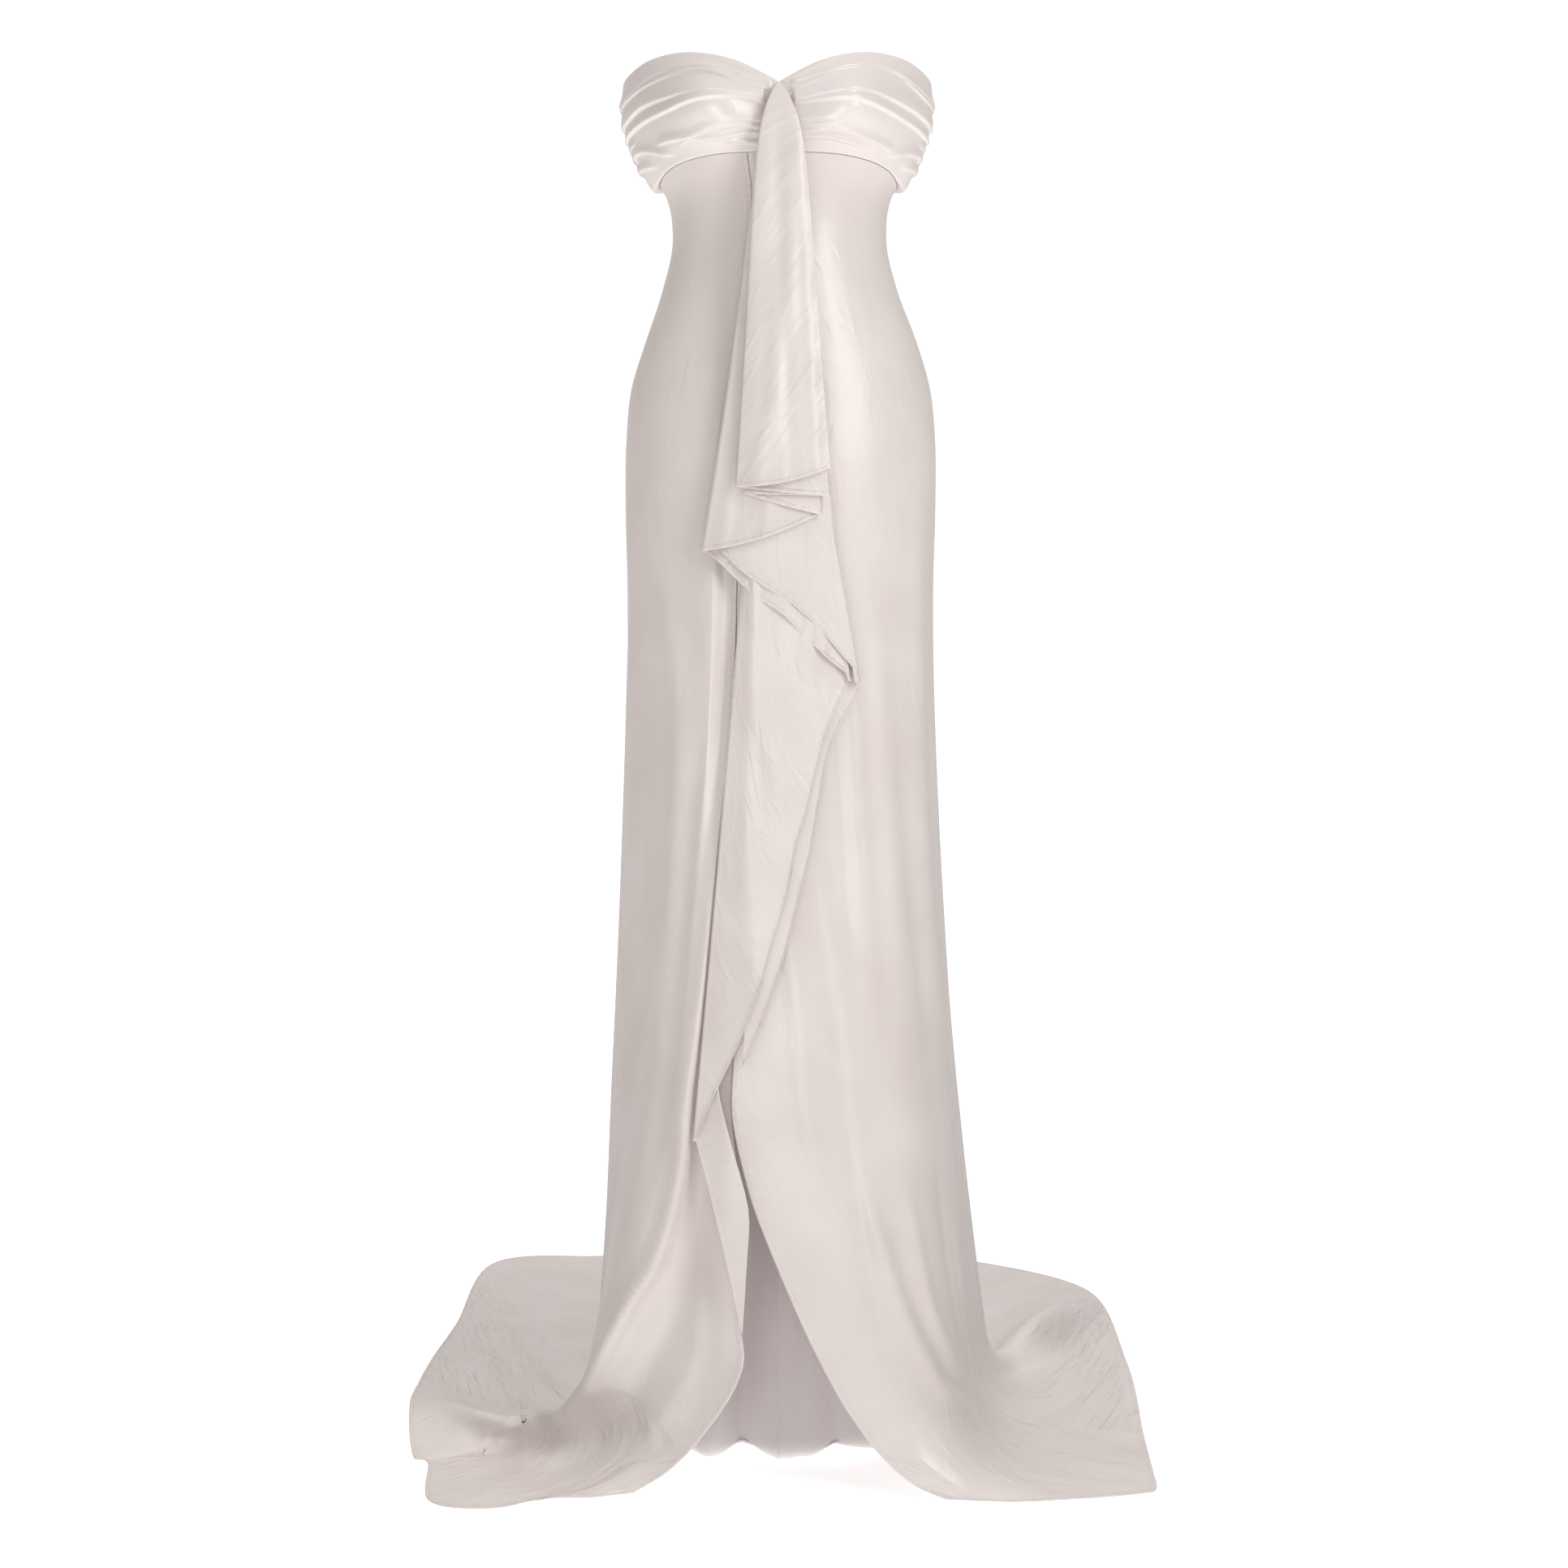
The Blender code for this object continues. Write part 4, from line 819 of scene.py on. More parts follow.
    creases: tuple[Crease, ...] = (
        Crease(((23.95, 0.33), (23.47, 0.443), (22.75, 0.55), (22.43, 0.673), (22.20, 0.78), (21.75, 0.87),
            (21.10, 0.94), (20.30, 1.07), (19.30, 1.26), (18.30, 1.46), (17.40, 1.64), (16.85, 1.80),
            (16.80, 1.96)), 0.0085, 0.0095, 0.0140, 0.70),
        Crease(((22.95, 0.50), (22.85, 0.66), (22.75, 0.80), (22.20, 0.90), (21.50, 1.00), (20.60, 1.14)),
            0.014, -0.0050, 0.016),
        Crease(((20.20, 1.20), (19.10, 1.42), (18.20, 1.60), (17.60, 1.76)), 0.014, -0.0072),
        Crease(((21.90, 0.38), (21.35, 0.50), (21.40, 0.62), (21.50, 0.75), (21.35, 0.88)), 0.018, -0.0050),
        Crease(((19.20, 0.28), (20.30, 0.42), (20.75, 0.55), (20.85, 0.67)), 0.016, 0.0030),
        Crease(((18.60, 0.40), (19.20, 0.52), (19.60, 0.66), (19.80, 0.78)), 0.013, -0.0022),
        Crease(((20.40, 0.62), (20.20, 0.74), (20.00, 0.86)), 0.012, 0.0022),
        Crease(((17.40, 0.66), (17.45, 0.78), (17.50, 0.93)), 0.010, -0.0024),
        Crease(((18.30, 0.72), (18.40, 0.84), (18.60, 0.95)), 0.012, 0.0020),
        Crease(((22.90, 0.86), (22.75, 0.94), (22.55, 1.04), (22.10, 1.20)), 0.012, 0.0030),
        Crease(((23.50, 0.95), (23.20, 1.06), (22.80, 1.25)), 0.010, -0.0020),
        Crease(((1.00, 0.54), (1.06, 0.62), (1.22, 0.71), (1.24, 0.78), (1.20, 0.85), (1.10, 0.91),
            (0.95, 1.00)), 0.0060, -0.0024),
        Crease(((0.62, 0.52), (0.70, 0.62), (0.82, 0.72), (0.85, 0.84)), 0.011, 0.0030),
        Crease(((1.66, 0.36), (1.72, 0.48), (1.70, 0.62), (1.66, 0.74)), 0.012, 0.0032),
        Crease(((1.38, 0.42), (1.42, 0.54), (1.40, 0.64)), 0.009, -0.0018),
        Crease(((2.28, 0.34), (2.30, 0.48), (2.28, 0.60), (2.20, 0.70)), 0.014, 0.0026),
        Crease(((2.80, 0.46), (2.86, 0.60), (2.80, 0.74)), 0.014, -0.0022),
        Crease(((1.34, 0.78), (1.36, 0.86), (1.48, 0.925), (1.80, 0.985), (2.57, 1.09), (3.10, 1.17)),
            0.0085, 0.0050, 0.014),
        Crease(((1.60, 0.84), (1.74, 0.92), (2.15, 0.99), (2.95, 1.09)), 0.009, -0.0040, 0.013),
        Crease(((1.90, 0.80), (1.95, 0.88), (2.05, 0.94), (2.45, 0.985), (3.30, 1.05)), 0.0075, 0.0034,
            0.011),
        Crease(((2.75, 0.80), (2.70, 0.88), (2.82, 0.95), (3.40, 1.02)), 0.010, -0.0032),
        Crease(((3.30, 0.84), (3.40, 0.92), (4.10, 0.99)), 0.009, 0.0030),
        Crease(((7.20, 1.24), (7.25, 1.45), (7.05, 1.75), (7.00, 1.97)), 0.0045, 0.0016),
        Crease(((6.70, 1.09), (7.10, 1.25), (7.20, 1.45)), 0.012, -0.0035),
        Crease(((15.60, 1.26), (15.45, 1.56), (15.38, 1.96)), 0.015, 0.0090, 0.019, 0.5),
        Crease(((16.10, 1.34), (15.95, 1.60), (15.85, 1.88)), 0.013, -0.0035),
        Crease(((19.90, 1.50), (20.10, 1.66), (20.60, 1.86)), 0.009, 0.0016),
        Crease(((21.20, 1.40), (21.10, 1.60), (21.50, 1.85)), 0.010, -0.0016),
        Crease(((4.40, 0.20), (4.55, 0.42), (4.50, 0.70), (4.60, 0.95)), 0.016, 0.0030),
        Crease(((5.20, 0.38), (5.35, 0.62), (5.50, 0.90), (5.90, 1.20)), 0.013, -0.0026),
        Crease(((6.80, 0.30), (6.90, 0.60), (7.00, 0.92), (7.10, 1.25)), 0.015, 0.0034),
        Crease(((7.90, 0.45), (8.05, 0.75), (8.15, 1.05), (8.40, 1.50)), 0.012, -0.0028),
        Crease(((8.90, 0.34), (8.95, 0.66), (9.10, 1.00), (9.20, 1.40)), 0.014, 0.0036),
        Crease(((9.70, 0.40), (9.65, 0.74), (9.60, 1.05)), 0.010, -0.0026),
        Crease(((10.60, 0.36), (10.55, 0.70), (10.70, 0.98), (10.80, 1.30)), 0.009, 0.0030),
        Crease(((12.10, 0.42), (12.15, 0.72), (12.20, 1.05), (12.25, 1.45)), 0.011, 0.0030),
        Crease(((12.70, 0.30), (12.75, 0.58), (12.70, 0.90)), 0.010, -0.0024),
        Crease(((14.10, 0.36), (14.00, 0.68), (14.05, 1.00), (14.20, 1.35)), 0.014, 0.0036),
        Crease(((14.80, 0.48), (14.75, 0.80), (14.60, 1.10)), 0.012, -0.0028),
        Crease(((15.60, 0.26), (15.50, 0.56), (15.45, 0.88)), 0.014, 0.0026),
        Crease(((16.60, 0.44), (16.65, 0.74), (16.60, 0.98)), 0.011, -0.0022),
    )

    @property
    def last(self) -> float:
        """The place of the last strand."""
        return float(len(self.strands) - 1)

    def column_at(self, name: str, place: np.ndarray) -> np.ndarray:
        """A column of the strands' table at any place among them."""
        return curve(place, np.arange(len(self.strands), dtype=float), column(self.strands, name))

    def strand_points(self, place: np.ndarray, stage: np.ndarray) -> np.ndarray:
        """Points of the strands: on the body, then falling free, then sweeping over the floor to the hem.

        A strand falls from the body's side towards its foot by a power of the way down. Over the floor it
        is a parabola that starts down and turns round the foot, and then a straight line to the hem.

        Args:
            place: Place among the strands.
            stage: 0 at the underbust seam, 1 where the floor starts, 2 at the hem.

        Returns:
            Points in the shape of place.
        """
        names = ("angle", "foot_x", "foot_y", "hem_x", "hem_y", "bend", "fall")
        angle, foot_x, foot_y, hem_x, hem_y, bend, fall = (self.column_at(name, place) for name in names)
        top = FORM.seam(FORM.underbust, angle) - SEAM
        height = top + (bend - top) * np.minimum(stage, 1)
        on_body = FORM.point(angle, np.maximum(height, self.hip_height))
        share = np.clip((self.hip_height - height) / self.hip_height, 0, 1) ** fall
        x = on_body[..., 0] + (foot_x - on_body[..., 0]) * share
        y = on_body[..., 1] + (foot_y - on_body[..., 1]) * share
        hanging = np.stack([x, y, height], axis=-1)
        floor = np.clip(stage - 1, 0, 1)[..., None]
        foot = np.stack([foot_x, foot_y, 0 * foot_x], axis=-1)
        hem = np.stack([hem_x, hem_y, 0 * hem_x], axis=-1)
        turn = np.minimum(bend[..., None] / np.linalg.norm(hem - foot, axis=-1, keepdims=True), 1)
        after = foot + (hem - foot) * turn
        turning = np.maximum(turn, self.bend_share)
        part = np.clip(floor / turning, 0, 1)
        sweep = (1 - part) ** 2 * hanging + 2 * part * (1 - part) * foot + part**2 * after
        onwards = np.clip((floor - turning) / np.maximum(1 - turning, 1e-6), 0, 1)
        return np.where(floor > 0, sweep + (hem - after) * onwards, hanging)

    def edge_path(self, rows: Sequence[Edge], place: float, stage: np.ndarray) -> tuple[np.ndarray, ...]:
        """Across and height of a free edge, and how far its strand has to move across and up to it.

        Args:
            rows: The edge's table.
            place: The edge's strand.
            stage: Stages at which to read it.

        Returns:
            The moves across and up.
        """
        spot = np.full_like(stage, place)
        strand = self.strand_points(spot, stage)
        points = np.stack([column(rows, "x"), column(rows, "height")], axis=-1)
        length = np.concatenate([[0], np.cumsum(np.linalg.norm(np.diff(points, axis=0), axis=1))])
        hanging = np.interp(-strand[..., 2], -points[:, 1], length)
        last = np.interp(-self.column_at("bend", np.array(place)), -points[:, 1], length)
        along = np.where(stage > 1, last + (length[-1] - last) * np.clip(stage - 1, 0, 1), hanging)
        x, height = curve(along, length, points[:, 0]), curve(along, length, points[:, 1])
        return x - strand[..., 0], np.where(stage > 1, height - strand[..., 2], 0)

    def surface(self, place: np.ndarray, stage: np.ndarray) -> np.ndarray:
        """The skirt's face: the strands, drawn to the slit's free edges, with the large folds on it.

        A fold is a bell across the strands, along the surface's normal and tipped to the front. Its crest
        moves to another strand by the share of the stages from the move's start, levelled off softly at 1.

        Args:
            place: Place among the strands, a grid.
            stage: Stage down them, the same shape.

        Returns:
            Points of the grid.
        """
        grid = self.strand_points(place, stage)
        for rows, strand, near in (
            (self.left_edge, 0.0, place / self.left_reach),
            (self.right_edge, self.last, (self.last - place) / self.right_reach),
        ):
            across, up = self.edge_path(rows, strand, stage)
            follow = smooth_step(1 - near) ** 1.5 * smooth_step(stage / self.edge_start)
            grid[..., 0] += follow * across
            grid[..., 2] += follow * up
        facing = normals(grid)
        for fold in self.folds:
            moved = stage - self.move_start
            moved = np.maximum(moved - self.move_round * np.log1p(np.exp((moved - 1) / self.move_round)), 0)
            away = place - fold.strand - (fold.hem_strand - fold.strand) * moved
            before = fold.before + (fold.hem_before - fold.before) * moved
            after = fold.after + (fold.hem_after - fold.after) * moved
            heights = [0.0, fold.hip, fold.knee, fold.floor, fold.sweep, fold.hem]
            high = curve(stage, np.array(self.stations), np.array(heights))
            ridge = bell(away / np.where(away < 0, before, after)) * high
            tip = np.array([0.0, -fold.lean, 0.0]) * smooth_step(stage - self.tip_start)[..., None]
            grid = grid + ridge[..., None] * (facing + tip)
        grid[..., 2] = np.maximum(grid[..., 2], 0)
        return grid

    def crease_lift(self, grid: np.ndarray, facing: np.ndarray) -> np.ndarray:
        """How the creases move each point: a bell of its distance to each crease's line."""
        moved = np.zeros_like(grid)
        places = np.linspace(0, self.last, self.line_samples)
        for crease in self.creases:
            control = np.array(crease.points)
            along = np.linspace(0, len(control) - 1, 4 * len(control))
            path = [curve(along, np.arange(len(control), dtype=float), control[:, axis]) for axis in (0, 1)]
            around = self.surface(*np.broadcast_arrays(places[:, None], path[1][None, :]))
            line = np.array([
                [np.interp(place, places, around[:, number, axis]) for axis in range(3)]
                for number, place in enumerate(path[0])
            ])
            away = np.linalg.norm(grid[::8, ::8, None] - line[None, None, ::4], axis=-1)
            if away.min() <= self.crease_reach:
                lift = line_lift(grid, line, (crease.width, crease.last_width or crease.width), crease.depth)
                moved += lift[..., None] * (facing + [0.0, -crease.tip, 0.0])
        return moved

    def places(self, start: float, end: float, columns: int, rows: int) -> tuple[np.ndarray, np.ndarray]:
        """The grid of a panel, with fine columns at its free edges and fine rows at its hem.

        The fine ones lie at set distances from the edge, which the surface's own steps turn into places.

        Args:
            start: First strand place.
            end: Last strand place.
            columns: Columns between the fine ones.
            rows: Rows above the fine ones.

        Returns:
            The strand place and the stage of each point.
        """
        middle = np.linspace(start, end, columns)
        hanging = int(rows * self.hanging_share)
        falling, lying = np.linspace(0, 1, hanging, endpoint=False), np.linspace(1, 2, rows - hanging)
        stage = np.concatenate([falling, lying])
        rough = self.surface(*np.meshgrid(middle, stage, indexing="ij"))
        step_across = np.linalg.norm(np.diff(rough, axis=0), axis=-1) / (middle[1] - middle[0])
        step_down = np.linalg.norm(rough[:, -1] - rough[:, -2], axis=-1) / (stage[-1] - stage[-2])
        offsets = np.array(self.fine)
        even = np.linspace(0, 1, columns)[:, None]
        place = np.repeat(middle[:, None], len(stage), axis=1)
        if start == 0:
            near = start + offsets[:, None] / step_across[0][None, :]
            place = np.concatenate([near[:-1], near[-1] + (end - near[-1]) * even])
        if end == self.last:
            near = end - offsets[::-1, None] / step_across[-1][None, :]
            place = np.concatenate([start + (near[0] - start) * even, near[1:]])
        hem_step = np.interp(place[:, -1], middle, step_down)[:, None]
        near = 2 - offsets[None, ::-1] / np.maximum(hem_step, self.least_hem_step)
        above = stage[None, :-1]
        on_floor = 1 + (above - 1) * (near[:, :1] - 1)
        level = np.concatenate([np.where(above <= 1, above, on_floor), near], axis=1)
        return np.concatenate([place[:, :-1], np.repeat(place[:, -1:], len(offsets), axis=1)], axis=1), level

    def panel(self, name: str, start: float, end: float, columns: int, rows: int) -> bpy.types.Object:
        """One panel between two seams or free edges, with its creases and its rolled hem.

        Args:
            name: The panel's name, and that of the solid it stands for.
            start: First strand place.
            end: Last strand place.
            columns: Columns between its edges' fine ones.
            rows: Rows above the hem's fine ones.

        Returns:
            The panel's object.
        """
        place, level = self.places(start, end, columns, rows)
        open_start, open_end = start == 0, end == self.last
        grid = self.surface(place, level)
        creased = self.crease_lift(grid, normals(grid)) * smooth_step(level / self.crease_start)[..., None]
        grid = grid + creased
        edge = self.edge_distance(grid, open_start, open_end)
        grid[..., 2] = np.maximum(grid[..., 2], 0)
        facing = normals(grid)
        across = unit(np.gradient(grid, axis=0))
        if not open_start:
            grid[0] += across[0] * self.join - facing[0] * self.seam_dip
        if not open_end:
            grid[-1] -= across[-1] * self.join + facing[-1] * self.seam_dip
        grid[..., 2] = np.maximum(grid[..., 2], 0)
        hemmed = smooth_step(1 - (edge - self.hem_width * 0.8) / (self.hem_width * 0.25))
        rounded = np.sqrt(np.clip(edge / (self.hem_cloth / 2), 0, 1))
        wall = self.cloth + (self.hem_cloth - self.cloth) * hemmed * rounded
        outer = grid + facing * (self.hem_rise * hemmed * rounded - self.edge_tuck * (1 - rounded))[..., None]
        inner = outer - facing * wall[..., None]
        late = smooth_step((level - self.crinkle_stage) / self.crinkle_rise)
        crinkle = self.hanging_crinkle + (1 - self.hanging_crinkle) * late
        piece = shell(name + "_cloth", outer, inner, (self.finishes.satin, self.finishes.back), crinkle, edge)
        put_on_dress(piece, name)
        self.cuts[name].declare(piece, "hung")
        rims = [np.s_[:, -self.stitch_line]]
        rims += [np.s_[self.stitch_line - 1]] if open_start else []
        rims += [np.s_[-self.stitch_line]] if open_end else []
        self.stitches += [(outer[rim], facing[rim]) for rim in rims]
        report(piece, outer)
        return piece

    def edge_distance(self, grid: np.ndarray, open_start: bool, open_end: bool) -> np.ndarray:
        """Metres to the nearest free edge or the hem, along the grid's own lines."""
        nearest = metres_to_end(grid, 1)
        if open_start:
            nearest = np.minimum(nearest, metres_to_end(grid[::-1], 0)[::-1])
        if open_end:
            nearest = np.minimum(nearest, metres_to_end(grid, 0))
        return nearest

    def build(self) -> None:
        """The four panels, and the stitches along their hems and free edges."""
        for name, start, end, columns, rows in (
            ("front_left", 0.0, self.side_left, 90, 300),
            ("back_left", self.side_left, self.centre_back, 84, 225),
            ("back_right", self.centre_back, self.side_right, 84, 225),
            ("front_right", self.side_right, self.last, 146, 276),
        ):
            self.panel(name, start, end, columns, rows)
        BlockRow().build("hem_stitches", self.stitches, self.finishes.thread, Slot.SATIN)


def line_lift(grid: np.ndarray, line: np.ndarray, widths: tuple[float, float], depth: float) -> np.ndarray:
    """A bell of each point's distance to a line of points, tapered towards the line's two ends.

    Args:
        grid: Points, with their places along the last axis.
        line: The line's points in order.
        widths: Half widths of the bell in metres at the line's start and end.
        depth: Its height in metres, below 0 for a trough.

    Returns:
        The lift of each point of the grid.
    """
    best = np.full(grid.shape[:-1], np.inf)
    place = np.zeros(grid.shape[:-1])
    count = len(line) - 1
    for number in range(count):
        start, step = line[number], line[number + 1] - line[number]
        share = np.clip(((grid - start) @ step) / (step @ step), 0, 1)
        away = np.linalg.norm(grid - start - share[..., None] * step, axis=-1)
        closer = away < best
        best = np.where(closer, away, best)
        place = np.where(closer, (number + share) / count, place)
    taper = smooth_step(place / TAPER) * smooth_step((1 - place) / TAPER)
    return depth * bell(best / (widths[0] + (widths[1] - widths[0]) * place)) * taper


@dataclass
class Bust:
    """The gathered band: two cups in front, whose folds fan out from the knot, and two plainer halves."""

    finishes: Finishes
    cloth: float = 0.0012
    lift: float = 0.0010
    side_bulk: float = 0.0085
    side_bulk_start: float = 0.72
    puff: float = 0.00147
    puff_reach: float = 0.02
    relief_reach: float = 0.004
    edge_roll: float = 0.0022
    crinkle: float = 0.35
    columns: int = 150
    rows: int = 138
    back_columns: int = 110
    back_rows: int = 80
    cuts: dict[str, Cut] = field(default_factory=lambda: {
        "bust_left": Cut(0.220, 0.150),
        "bust_right": Cut(0.220, 0.150),
        "back_band_left": Cut(0.165, 0.140),
        "back_band_right": Cut(0.165, 0.140),
    })
    right_cup: tuple[Tuck, ...] = (
        Tuck(((0.01, 0.01), (0.08, 0.045), (0.16, 0.074), (0.24, 0.075)), 0.0016, 0.0050, 0.0016, 0.01,
            0.10),
        Tuck(((0.03, 0.085), (0.07, 0.114), (0.14, 0.159), (0.22, 0.177)), 0.0022, 0.0050, 0.0015, 0.02,
            0.08),
        Tuck(((0.21, 0.148), (0.27, 0.149), (0.32, 0.151), (0.44, 0.163), (0.60, 0.185), (0.74, 0.222),
            (0.92, 0.215), (1.0, 0.205)), 0.0026, 0.0060, 0.0013, 0.12, 0.0),
        Tuck(((0.03, 0.180), (0.10, 0.247), (0.19, 0.249), (0.29, 0.205), (0.44, 0.216), (0.56, 0.237),
            (0.70, 0.249), (0.93, 0.246), (1.0, 0.240)), 0.0028, 0.0045, 0.0018, 0.02, 0.0),
        Tuck(((0.05, 0.30), (0.07, 0.327), (0.157, 0.377), (0.228, 0.383), (0.34, 0.400), (0.48, 0.420),
            (0.67, 0.410), (0.90, 0.426), (1.0, 0.43)), 0.0040, 0.0120, 0.0020, 0.02, 0.0),
        Tuck(((0.05, 0.375), (0.08, 0.390), (0.19, 0.419), (0.29, 0.455), (0.39, 0.490), (0.47, 0.523),
            (0.64, 0.540), (0.85, 0.530), (1.0, 0.535)), 0.0038, 0.0070, 0.0017, 0.02, 0.0),
        Tuck(((0.05, 0.60), (0.09, 0.618), (0.12, 0.628), (0.19, 0.645), (0.27, 0.700), (0.36, 0.72)),
            0.0038, 0.0100, 0.0020, 0.02, 0.16),
        Tuck(((0.05, 0.70), (0.095, 0.706), (0.157, 0.703), (0.228, 0.733), (0.30, 0.737), (0.37, 0.781),
            (0.56, 0.782), (0.68, 0.77)), 0.0032, 0.0060, 0.0017, 0.02, 0.16),
        Tuck(((0.05, 0.77), (0.12, 0.786), (0.228, 0.830), (0.31, 0.847), (0.41, 0.822), (0.51, 0.866)),
            0.0026, 0.0048, 0.0016, 0.02, 0.12),
        Tuck(((0.06, 0.92), (0.112, 0.907), (0.21, 0.873), (0.30, 0.903)), 0.0024, 0.0045, 0.0016, 0.02,
            0.10),
        Tuck(((0.52, 0.90), (0.58, 0.890), (0.67, 0.820), (0.83, 0.717), (1.0, 0.70)), 0.0026, 0.0060,
            0.0018, 0.10, 0.0),
        Tuck(((0.70, 0.93), (0.82, 0.860), (0.92, 0.820), (1.0, 0.81)), 0.0026, 0.0050, 0.0018, 0.12, 0.0),
        Tuck(((0.80, 0.64), (0.90, 0.625), (1.0, 0.62)), 0.0022, 0.0050, 0.0018, 0.10, 0.0),
        Tuck(((0.82, 0.33), (0.92, 0.335), (1.0, 0.34)), 0.0020, 0.0045, 0.0018, 0.10, 0.0),
    )
    left_cup: tuple[Tuck, ...] = (
        Tuck(((0.01, 0.02), (0.09, 0.060), (0.18, 0.070), (0.26, 0.066)), 0.0018, 0.0050, 0.0016, 0.01,
            0.10),
        Tuck(((0.04, 0.100), (0.10, 0.150), (0.18, 0.165), (0.27, 0.150), (0.40, 0.145), (0.53, 0.165),
            (0.66, 0.205), (0.80, 0.225), (1.0, 0.21)), 0.0026, 0.0060, 0.0013, 0.03, 0.0),
        Tuck(((0.56, 0.195), (0.68, 0.240), (0.84, 0.262), (1.0, 0.250)), 0.0026, 0.0045, 0.0018, 0.10,
            0.0),
        Tuck(((0.04, 0.205), (0.10, 0.235), (0.19, 0.228), (0.30, 0.205)), 0.0022, 0.0050, 0.0015, 0.02,
            0.12),
        Tuck(((0.05, 0.330), (0.11, 0.372), (0.20, 0.392), (0.30, 0.395), (0.41, 0.402), (0.52, 0.428),
            (0.66, 0.440), (0.85, 0.430), (1.0, 0.435)), 0.0040, 0.0120, 0.0020, 0.02, 0.0),
        Tuck(((0.05, 0.405), (0.10, 0.425), (0.20, 0.450), (0.30, 0.462), (0.40, 0.500), (0.50, 0.536),
            (0.63, 0.560), (0.80, 0.552), (1.0, 0.545)), 0.0038, 0.0070, 0.0017, 0.02, 0.0),
        Tuck(((0.05, 0.60), (0.10, 0.625), (0.17, 0.630), (0.25, 0.660), (0.34, 0.70)), 0.0036, 0.0090,
            0.0019, 0.02, 0.14),
        Tuck(((0.05, 0.675), (0.11, 0.690), (0.19, 0.705), (0.28, 0.725), (0.38, 0.745)), 0.0026, 0.0055,
            0.0016, 0.02, 0.12),
        Tuck(((0.05, 0.76), (0.12, 0.770), (0.21, 0.760), (0.31, 0.778), (0.42, 0.815), (0.54, 0.840),
            (0.64, 0.83)), 0.0030, 0.0058, 0.0017, 0.02, 0.14),
        Tuck(((0.05, 0.83), (0.13, 0.835), (0.23, 0.842), (0.34, 0.880), (0.46, 0.895)), 0.0024, 0.0045,
            0.0016, 0.02, 0.12),
        Tuck(((0.56, 0.910), (0.64, 0.860), (0.76, 0.775), (0.88, 0.725), (1.0, 0.71)), 0.0026, 0.0060,
            0.0018, 0.10, 0.0),
        Tuck(((0.72, 0.925), (0.84, 0.862), (0.93, 0.830), (1.0, 0.82)), 0.0026, 0.0050, 0.0018, 0.12, 0.0),
        Tuck(((0.82, 0.65), (0.91, 0.630), (1.0, 0.625)), 0.0022, 0.0050, 0.0018, 0.10, 0.0),
        Tuck(((0.84, 0.345), (0.92, 0.345), (1.0, 0.35)), 0.0020, 0.0045, 0.0018, 0.10, 0.0),
    )
    back: tuple[Tuck, ...] = (
        Tuck(((0.0, 0.14), (0.30, 0.12), (0.65, 0.13), (1.0, 0.205)), 0.0020, 0.0070, 0.0022, 0.20, 0.0),
        Tuck(((0.18, 0.26), (0.50, 0.24), (0.80, 0.25), (1.0, 0.245)), 0.0022, 0.0060, 0.0020, 0.20, 0.0),
        Tuck(((0.0, 0.40), (0.35, 0.37), (0.70, 0.40), (1.0, 0.43)), 0.0028, 0.0110, 0.0024, 0.20, 0.0),
        Tuck(((0.22, 0.56), (0.52, 0.52), (0.80, 0.53), (1.0, 0.54)), 0.0026, 0.0070, 0.0020, 0.20, 0.0),
        Tuck(((0.0, 0.66), (0.40, 0.64), (0.75, 0.70), (1.0, 0.705)), 0.0026, 0.0090, 0.0022, 0.20, 0.0),
        Tuck(((0.30, 0.84), (0.60, 0.80), (0.82, 0.83), (1.0, 0.815)), 0.0024, 0.0065, 0.0020, 0.20, 0.0),
        Tuck(((0.80, 0.61), (0.90, 0.62), (1.0, 0.62)), 0.0020, 0.0050, 0.0018, 0.10, 0.0),
        Tuck(((0.80, 0.34), (0.92, 0.34), (1.0, 0.345)), 0.0018, 0.0045, 0.0018, 0.10, 0.0),
    )
    pits: tuple[Pit, ...] = (
        Pit(0.965, 0.30, 0.020, 0.030, 0.0030),
        Pit(0.965, 0.49, 0.020, 0.030, 0.0034),
        Pit(0.970, 0.67, 0.018, 0.022, 0.0040),
        Pit(0.940, 0.765, 0.026, 0.020, 0.0040),
        Pit(0.985, 0.88, 0.016, 0.020, 0.0034),
    )

    def relief(
        self, tucks: Sequence[Tuck], share: np.ndarray, down: np.ndarray, span: np.ndarray
    ) -> np.ndarray:
        """How far the cloth stands off the cut: the highest of the tucks at each point, and part of the rest.

        A tuck is a bell of the distance down from its crest, wide above and narrow below, so that its lower
        side falls off like a fold that lies on the cloth under it.

        Args:
            tucks: The folds.
            share: Share of the way from the centre to the side, down the first axis.
            down: Share of the way down the band, along the second axis.
            span: The band's height in metres at each share.

        Returns:
            Metres off the cut.
        """
        highest = np.zeros(np.broadcast(share, down).shape)
        total = np.zeros_like(highest)
        for tuck in tucks:
            points = np.array(tuck.points)
            crest = curve(share, points[:, 0], points[:, 1])
            away = (down - crest) * span
            start = smooth_step((share - points[0, 0]) / max(tuck.fade_in, 1e-6))
            end = smooth_step((points[-1, 0] - share) / max(tuck.fade_out, 1e-6)) if tuck.fade_out else 1.0
            ridge = tuck.height * bell(away / np.where(away < 0, tuck.above, tuck.below)) * start * end
            highest = np.maximum(highest, ridge)
            total = total + ridge
        return 0.65 * highest + 0.35 * total

